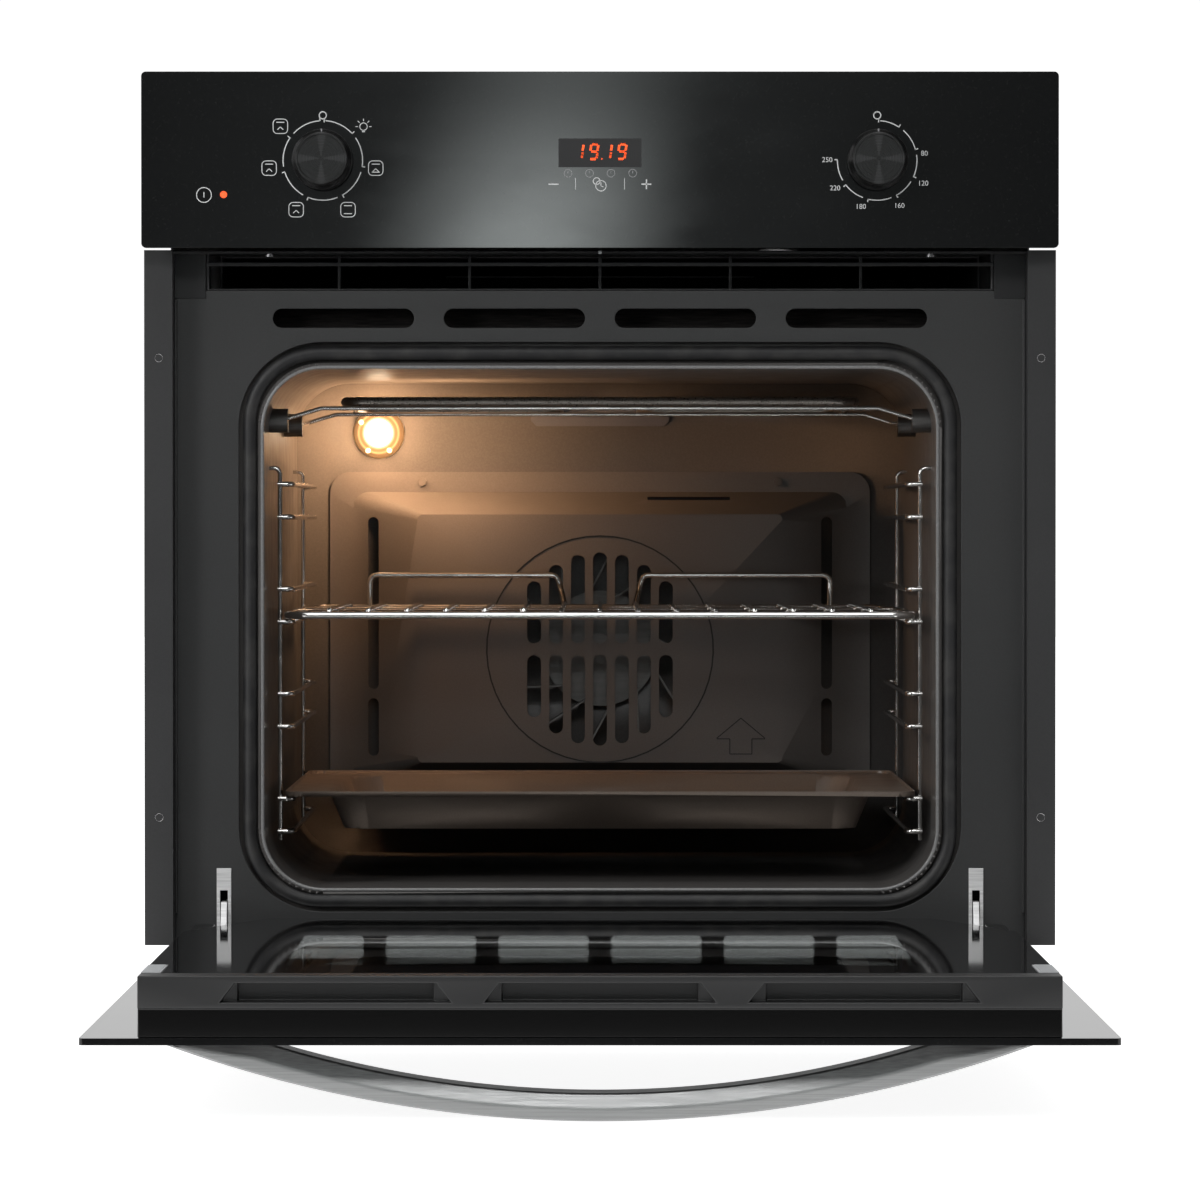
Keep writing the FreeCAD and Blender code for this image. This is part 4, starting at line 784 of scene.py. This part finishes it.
# %% Plugs, painted glow strip and lamp clips
def square_block(name, low, high, finish, body):
    """A plain strip between two corners."""
    form = bmesh.new()
    bmesh.ops.create_cube(form, size=1)
    size, middle = Vector(high) - Vector(low), (Vector(high) + Vector(low)) / 2
    bmesh.ops.scale(form, verts=form.verts, vec=size)
    bmesh.ops.translate(form, verts=form.verts, vec=middle)
    mesh = bpy.data.meshes.new(name)
    form.to_mesh(mesh)
    form.free()
    return placed(name, mesh, finish, body)


for side in (-1, 1):
    for height in (0.110, 0.410):
        name = f"screw_plug_{'left' if side < 0 else 'right'}_{int(height * 1000)}"
        turned(name, [(0.0, TRIM_Y - 0.0003), (0.0022, TRIM_Y - 0.0003), (0.0025, TRIM_Y),
                      (0.0025, TRIM_Y + 0.0009), (0.0, TRIM_Y + 0.0009)],
               Vector((side * 0.288, 0, height)), "trim", "cabinet", 32)

RAIL_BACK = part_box("door_bottom_rail")[1].y
# Painted light: a pale glowing strip behind the rail's slots, with a dark backing behind it.
square_block("rail_painted_glow", (-0.222, RAIL_BACK + 0.0001, 0.0215),
             (0.222, RAIL_BACK + 0.0005, 0.0309), "painted_glow_strip", "door")
square_block("rail_painted_glow_backing", (-0.224, RAIL_BACK + 0.0006, 0.0210),
             (0.224, RAIL_BACK + 0.0012, 0.0314), "door_paint", "door")
print("gauze behind the rail at y =", round(RAIL_BACK, 4))

CLIP_RING, CLIP_BALL = 0.0150, 0.0019
# Painted glint: each clip is a small ball that glows in the lamp's colour, though it gives no light of its own.
for index, degrees in enumerate((-58, 148, 211)):
    turn = math.radians(degrees)
    form = bmesh.new()
    bmesh.ops.create_icosphere(form, subdivisions=3, radius=CLIP_BALL)
    bmesh.ops.translate(form, verts=form.verts,
                        vec=(LAMP_X + math.sin(turn) * CLIP_RING, LAMP_LOW.y + 0.0025,
                             LAMP_Z + math.cos(turn) * CLIP_RING))
    mesh = bpy.data.meshes.new(f"lamp_clip_{index}")
    form.to_mesh(mesh)
    form.free()
    placed(f"lamp_clip_{index}", mesh, "spark", "cabinet")

# %% [markdown]
# ## Print on the fascia
# The marks on the glass are screen print: a film of ink a few hundredths of a millimetre thick.
# Each mark is a strip of an arc or a bar, gathered into one mesh laid on the glass.

# %% Marks drawn as thin strips of ink
INK_THICK = 0.00006


class Print:
    """A mesh of thin marks in an upright plane, drawn round a centre in millimetres."""

    def __init__(self, plane=FASCIA_Y):
        self.form = bmesh.new()
        self.plane = plane - INK_THICK / 2
        self.centre = (0.0, 0.0)

    def at(self, x, z):
        self.centre = (x, z)
        return self

    def spot(self, x, z):
        return Vector(((self.centre[0] + x) * MM, self.plane, (self.centre[1] + z) * MM))

    def arc(self, radius, width=0.5, start=0.0, sweep=360.0, x=0.0, z=0.0):
        """A strip of a ring, its angles clockwise from the top."""
        turn = math.radians(start)
        ray = Vector((math.sin(turn), 0, math.cos(turn)))
        ends = [self.form.verts.new(self.spot(x, z) + ray * (radius + side * width / 2) * MM)
                for side in (-1, 1)]
        edge = self.form.edges.new(ends)
        whole = abs(sweep) >= 360
        bmesh.ops.spin(self.form, geom=[*ends, edge], cent=self.spot(x, z), axis=(0, 1, 0),
                       angle=math.radians(sweep), steps=max(6, int(abs(sweep) / 7)),
                       use_merge=whole)

    def line(self, x0, z0, x1, z1, width=0.5):
        """A straight bar between two places."""
        start, end = self.spot(x0, z0), self.spot(x1, z1)
        way = (end - start).normalized()
        aside = Vector((-way.z, 0, way.x)) * width / 2 * MM
        corners = [self.form.verts.new(place) for place in
                   (start - aside, end - aside, end + aside, start + aside)]
        self.form.faces.new(corners)

    def box(self, half_x, half_z, x=0.0, z=0.0, width=0.45, round=1.4):
        """A square outline with rounded corners."""
        for side in (-1, 1):
            self.line(x - half_x + round, z + side * half_z, x + half_x - round, z + side * half_z,
                      width)
            self.line(x + side * half_x, z - half_z + round, x + side * half_x,
                      z + half_z - round, width)
            for top in (-1, 1):
                start = {(1, 1): 0, (1, -1): 90, (-1, -1): 180, (-1, 1): 270}[(side, top)]
                self.arc(round, width, start, 90, x + side * (half_x - round),
                         z + top * (half_z - round))

    def text(self, words, height, x, z):
        """Plain figures set in the built-in face."""
        curve = bpy.data.curves.new("figures", "FONT")
        curve.body = words
        curve.size = height * MM * 1.4
        curve.align_x = "CENTER"
        curve.align_y = "CENTER"
        source = bpy.data.objects.new("figures", curve)
        flat = bpy.data.meshes.new_from_object(source)
        flat.transform(Matrix.Translation(self.spot(x, z)) @ Matrix.Rotation(math.pi / 2, 4, "X"))
        self.form.from_mesh(flat)
        bpy.data.objects.remove(source)
        bpy.data.curves.remove(curve)
        bpy.data.meshes.remove(flat)

    def laid(self, name, finish, thick=INK_THICK):
        """Give the marks their thickness and put them on the oven."""
        bmesh.ops.remove_doubles(self.form, verts=self.form.verts, dist=1e-7)
        film = bmesh.ops.extrude_face_region(self.form, geom=self.form.faces[:])
        moved = [item for item in film["geom"] if isinstance(item, bmesh.types.BMVert)]
        bmesh.ops.translate(self.form, verts=moved, vec=(0, -thick, 0))
        bmesh.ops.recalc_face_normals(self.form, faces=self.form.faces)
        mesh = bpy.data.meshes.new(name)
        self.form.to_mesh(mesh)
        self.form.free()
        mesh.materials.append(FINISH[finish])
        piece = bpy.data.objects.new(name, mesh)
        bpy.context.scene.collection.objects.link(piece)
        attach(piece, "cabinet")
        return piece


# %% [markdown]
# ## The two knob scales
# The function selector has a ring with a small square symbol for each way of heating. The
# thermostat has an open ring with a tick and a number at each step.

# %% Print the scales
white = Print()
knob_x = KNOB_PLACES["temperature"].x / MM
knob_z = KNOB_PLACES["temperature"].z / MM
RING = 25.8


def tick(degrees, inner, outer, width=0.6):
    turn = math.radians(degrees)
    white.line(math.sin(turn) * inner, math.cos(turn) * inner, math.sin(turn) * outer,
               math.cos(turn) * outer, width)


def function_scale():
    white.at(-knob_x, knob_z)
    steps = 7
    for index in range(steps):
        turn = 360 * index / steps
        white.arc(RING, 0.7, turn + 4, 360 / steps - 8)
        tick(turn + 360 / steps - 4, RING - 0.3, RING + 1.9, 0.7)
    white.arc(2.3, 0.7, x=0, z=29.2)
    tick(2, RING - 1.2, RING + 1.2, 0.7)
    for x, z in ((-27.5, 22.1), (34.3, -5), (16.3, -31.9), (-17.3, -31.9), (-34.8, -5)):
        white.box(4.7, 4.7, x, z, 0.5, 2.7)
        white.line(x - 2.6, z + 2.6, x + 2.6, z + 2.6, 0.55)
    for x, z in ((16.3, -31.9), (34.3, -5)):
        white.line(x - 2.6, z - 2.6, x + 2.6, z - 2.6, 0.55)
    for x, z in ((-27.5, 22.1), (34.3, -5), (-17.3, -31.9), (-34.8, -5)):
        for side in (-1, 1):
            white.line(x, z - 0.4, x + side * 1.9, z - 2.2, 0.55)
    white.arc(2.4, 0.5, x=26.4, z=21.9)
    white.line(25.4, 18.6, 27.4, 18.6, 0.6)
    for degrees in range(-90, 91, 45):
        turn = math.radians(degrees)
        white.line(26.4 + math.sin(turn) * 3.6, 21.9 + math.cos(turn) * 3.6,
                   26.4 + math.sin(turn) * 5.2, 21.9 + math.cos(turn) * 5.2, 0.5)


def thermostat_scale():
    white.at(knob_x, knob_z)
    marks = (0, 37, 78, 118, 155, 197, 236, 275)
    for start, end in zip(marks, marks[1:]):
        white.arc(RING, 0.7, start + 4, end - start - 8)
        tick(end - 4, RING - 0.3, RING + 1.9, 0.7)
    white.arc(2.3, 0.7, x=0, z=29.2)
    tick(2, RING - 1.2, RING + 1.2, 0.7)
    for words, x, z in (("80", 30.6, 4.5), ("120", 29.8, -14.9), ("160", 14.4, -29.4),
                        ("180", -10.6, -30), ("220", -27.3, -18), ("250", -32.4, 0.3)):
        white.text(words, 3.3, x, z)


function_scale()
thermostat_scale()

# %% [markdown]
# ## Touch marks, power mark and clock
# Under the clock there are a minus, a plus and a timer mark that a finger touches. The digits
# are seven-segment bars that glow through the black glass.

# %% Print the middle of the fascia
def touch_marks():
    white.at(0, 0)
    white.line(-33.4, 522, -27, 522, 0.8)
    white.line(26.9, 522, 33.3, 522, 0.8)
    white.line(30.1, 518.8, 30.1, 525.2, 0.8)
    for x in (-15.9, 15.9):
        white.line(x, 518.5, x, 526, 0.35)
    white.arc(3.4, 0.5, x=0.6, z=521)
    white.arc(2.2, 0.5, x=-2.2, z=524)
    white.line(0.6, 521, 0.6, 523.2, 0.5)
    white.line(0.6, 521, 2.2, 520.2, 0.5)
    white.at(-256.8, 515)
    white.arc(4.8, 0.55)
    white.line(0, -1.6, 0, 1.8, 0.6)


def seven_segments(marks, digit, x, z, wide=4.6, tall=9.6, lean=0.12):
    """Bars of one digit, leaning a little to the right."""
    middle = z + tall / 2
    places = {"a": ((0, z + tall), (wide, z + tall)), "g": ((0, middle), (wide, middle)),
              "d": ((0, z), (wide, z)), "f": ((0, middle), (0, z + tall)),
              "b": ((wide, middle), (wide, z + tall)), "e": ((0, z), (0, middle)),
              "c": ((wide, z), (wide, middle))}
    lit = {"1": "bc", "9": "abcdfg"}[digit]
    for name in lit:
        (x0, z0), (x1, z1) = places[name]
        way = Vector((x1 - x0, z1 - z0)).normalized() * 0.5
        marks.line(x + x0 + way.x + (z0 - z) * lean, z0 + way.y, x + x1 - way.x + (z1 - z) * lean,
                   z1 - way.y, 1.5)


touch_marks()
white.laid("fascia_print", "ink")

# %% [markdown]
# ## Pressed lines on the fan cover
# The sheet over the fan has a pressed ring round its vents and a pressed arrow that shows which way up it goes.
# They are shallow, so a dark bead that stands out a little draws them, as painted shade in the pressings.

# %% Press the ring and the arrow
pressed = Print(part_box("fan_baffle")[0].y)
pressed.at(0, JOINTS["fan_spin"]["pos_m"][2] / MM)
pressed.arc(82.0, 1.1)
pressed.at(102, 146)
for side in (-1, 1):
    pressed.line(0, 15, side * 17.5, 0.4, 0.7)
    pressed.line(side * 17.5, 0, side * 8, 0, 0.7)
    pressed.line(side * 8, 0, side * 8, -11, 0.7)
pressed.line(-8, -11, 8, -11, 0.7)
pressed.laid("fan_cover_lines", "pressing_painted_shade", 0.0003)

# %% [markdown]
# ## The clock
# The digits shine through a slightly paler window in the black print. Below them are four faint
# symbols that light up only in use, so their ink is grey.

# %% Light the clock
digits = Print()
for digit, x in (("1", -16.4), ("9", -6.8), ("1", 2.0), ("9", 11.4)):
    seven_segments(digits, digit, x, 538.3)
digits.line(1.2, 538.0, 1.2, 538.9, 0.9)
digits.laid("clock_digits", "digits")
faint = Print()
for x in (-20.8, -6.8, 7.1, 21.2):
    faint.arc(2.5, 0.4, x=x, z=529.1)
    faint.line(x, 529.1, x, 530.7, 0.4)
faint.laid("faint_print", "faint_ink")
window = Print()
window.line(-26.9, 542.3, 26.9, 542.3, 18.6)
window.laid("clock_window", "display")
print("printed the fascia")

# %% [markdown]
# ## Studio
# A pale paper floor that gives off a little light keeps the ground shadow faint. The surround is
# bright behind and above the oven and dark behind the camera, so that black glass stays black.

# %% Floor and surround
def build_floor(low):
    form = bmesh.new()
    half = 7.0
    bmesh.ops.create_grid(form, x_segments=1, y_segments=1, size=half)
    bmesh.ops.translate(form, verts=form.verts, vec=(0, TRIM_Y - 0.86 + half, low))
    mesh = bpy.data.meshes.new("studio_floor")
    form.to_mesh(mesh)
    form.free()
    floor = bpy.data.objects.new("studio_floor", mesh)
    bpy.context.scene.collection.objects.link(floor)
    paper = Finish("studio_floor_paper", (0.5, 0.5, 0.5), 0.8,
                   **{"Emission Color": (1, 1, 1, 1), "Emission Strength": 0.9})
    paper.link("Base Color", paper.blend(paper.noise(3, 2), (0.48, 0.48, 0.48),
                                         (0.52, 0.52, 0.52)))
    mesh.materials.append(paper.material)


def build_surround():
    world = bpy.data.worlds.new("studio_surround")
    bpy.context.scene.world = world
    world.use_nodes = True
    tree = world.node_tree
    background = tree.nodes["Background"]
    background.inputs["Color"].default_value = (1, 1, 1, 1)
    place = tree.nodes.new("ShaderNodeTexCoord")
    split = tree.nodes.new("ShaderNodeSeparateXYZ")
    tree.links.new(place.outputs["Generated"], split.inputs[0])
    lean = Wave(tree, split.outputs["Y"]) + Wave(tree, split.outputs["Z"]) * 0.8
    lean = lean - Wave(tree, split.outputs["X"]) * 0.4
    ramp = tree.nodes.new("ShaderNodeMapRange")
    tree.links.new(lean.socket, ramp.inputs["Value"])
    for name, value in (("From Min", -0.2), ("From Max", 0.4), ("To Min", 0.07),
                        ("To Max", 0.85)):
        ramp.inputs[name].default_value = value
    seen = Wave(tree, tree.nodes.new("ShaderNodeLightPath").outputs["Is Camera Ray"])
    strength = Wave(tree, ramp.outputs[0]).largest(seen * 1.05)
    tree.links.new(strength.socket, background.inputs["Strength"])


build_floor(cad_box[0].z - 0.0005)
build_surround()

# %% [markdown]
# ## The lights
# Three large area lights give soft edges to every shadow. A glowing card behind the camera gives
# the fascia its grey sheen; no camera sees the card itself, so it never stands in a view.
# Two small warm lights in the cavity stand for the lamp and for the light its walls send back.

# %% Soft lights
def soft_light(name, place, aim, size, power):
    light = bpy.data.lights.new(name, "AREA")
    light.shape = "RECTANGLE"
    light.size, light.size_y = size
    light.energy = power
    lamp = bpy.data.objects.new(name, light)
    lamp.location = place
    lamp.rotation_euler = (Vector(aim) - Vector(place)).to_track_quat("-Z", "Y").to_euler()
    bpy.context.scene.collection.objects.link(lamp)


def build_card():
    form = bmesh.new()
    bmesh.ops.create_grid(form, x_segments=1, y_segments=1, size=0.8)
    bmesh.ops.rotate(form, verts=form.verts, cent=(0, 0, 0),
                     matrix=Matrix.Rotation(math.radians(90), 3, "X"))
    bmesh.ops.translate(form, verts=form.verts, vec=(0, -4.6, 1.36))
    mesh = bpy.data.meshes.new("soft_card")
    form.to_mesh(mesh)
    form.free()
    card = bpy.data.objects.new("soft_card", mesh)
    bpy.context.scene.collection.objects.link(card)
    paper = Finish("soft_card_glow", (0, 0, 0), 1.0, **{"Emission Strength": 7.0})
    rise = paper.axis("Z")
    across = (paper.axis("X") + 0.10 - (rise - 0.69) * 0.2).size()
    core = paper.ranged(across, 0.0, 0.24, 1.0, 0.0, "SMOOTHSTEP")
    fade = paper.ranged(rise, 0.67, 0.95, 1.0, 0.25, "SMOOTHSTEP")
    spread = paper.ranged(across, 0.0, 0.8, 0.05, 0.015, "SMOOTHSTEP")
    paper.link("Emission Color", paper.blend(core * fade + spread, (0, 0, 0), (0.93, 1.0, 0.99)))
    mesh.materials.append(paper.material)
    card.visible_camera = False


def build_lights():
    build_card()
    soft_light("overhead_soft", (0.0, -1.2, 2.8), (0, -0.3, 0.3), (2.2, 1.4), 17)
    soft_light("front_soft", (0.0, -3.0, 1.75), (0.0, -0.5, 0.2), (1.3, 0.5), 13)
    soft_light("left_soft", (-1.7, -1.9, 1.1), (-0.2, -0.28, 0.3), (0.6, 1.2), 17)


def warm_glow(name, place, power, size):
    """A warm point light inside the cavity that neither the camera nor a mirror sees."""
    glow = bpy.data.lights.new(name, "POINT")
    glow.energy = power
    glow.color = (1.0, 0.57, 0.30)
    glow.shadow_soft_size = size
    lamp = bpy.data.objects.new(name, glow)
    lamp.location = place
    lamp.visible_camera = False
    lamp.visible_glossy = False
    bpy.context.scene.collection.objects.link(lamp)


def build_cavity_light():
    warm_glow("lamp_glow", (LAMP_X, LAMP_LOW.y - 0.016, LAMP_Z), 0.45, 0.012)
    warm_glow("cavity_bounce", (LAMP_X + 0.045, LAMP_LOW.y - 0.075, LAMP_Z - 0.008), 0.86, 0.03)


build_lights()
build_cavity_light()

# %% [markdown]
# ## Camera
# A long lens at eye height of the cavity, tilted down by less than a degree, gives the straight
# front view with only a little perspective inside the oven.

# %% Place the camera
LENS, EYE_DISTANCE, EYE_HEIGHT, LOOK_DOWN = 166.95, 3.6335, 0.303, 0.803


def build_camera():
    camera = bpy.data.cameras.new("studio_camera")
    camera.sensor_width = 36
    camera.lens = LENS
    camera.clip_end = 60
    eye = bpy.data.objects.new("studio_camera", camera)
    eye.location = (0, TRIM_Y - EYE_DISTANCE, EYE_HEIGHT)
    eye.rotation_euler = (math.radians(90 - LOOK_DOWN), 0, 0)
    bpy.context.scene.collection.objects.link(eye)
    bpy.context.scene.camera = eye
    bpy.context.scene.view_settings.view_transform = "Standard"


build_camera()
print("the camera stands", EYE_DISTANCE, "m in front of the oven")
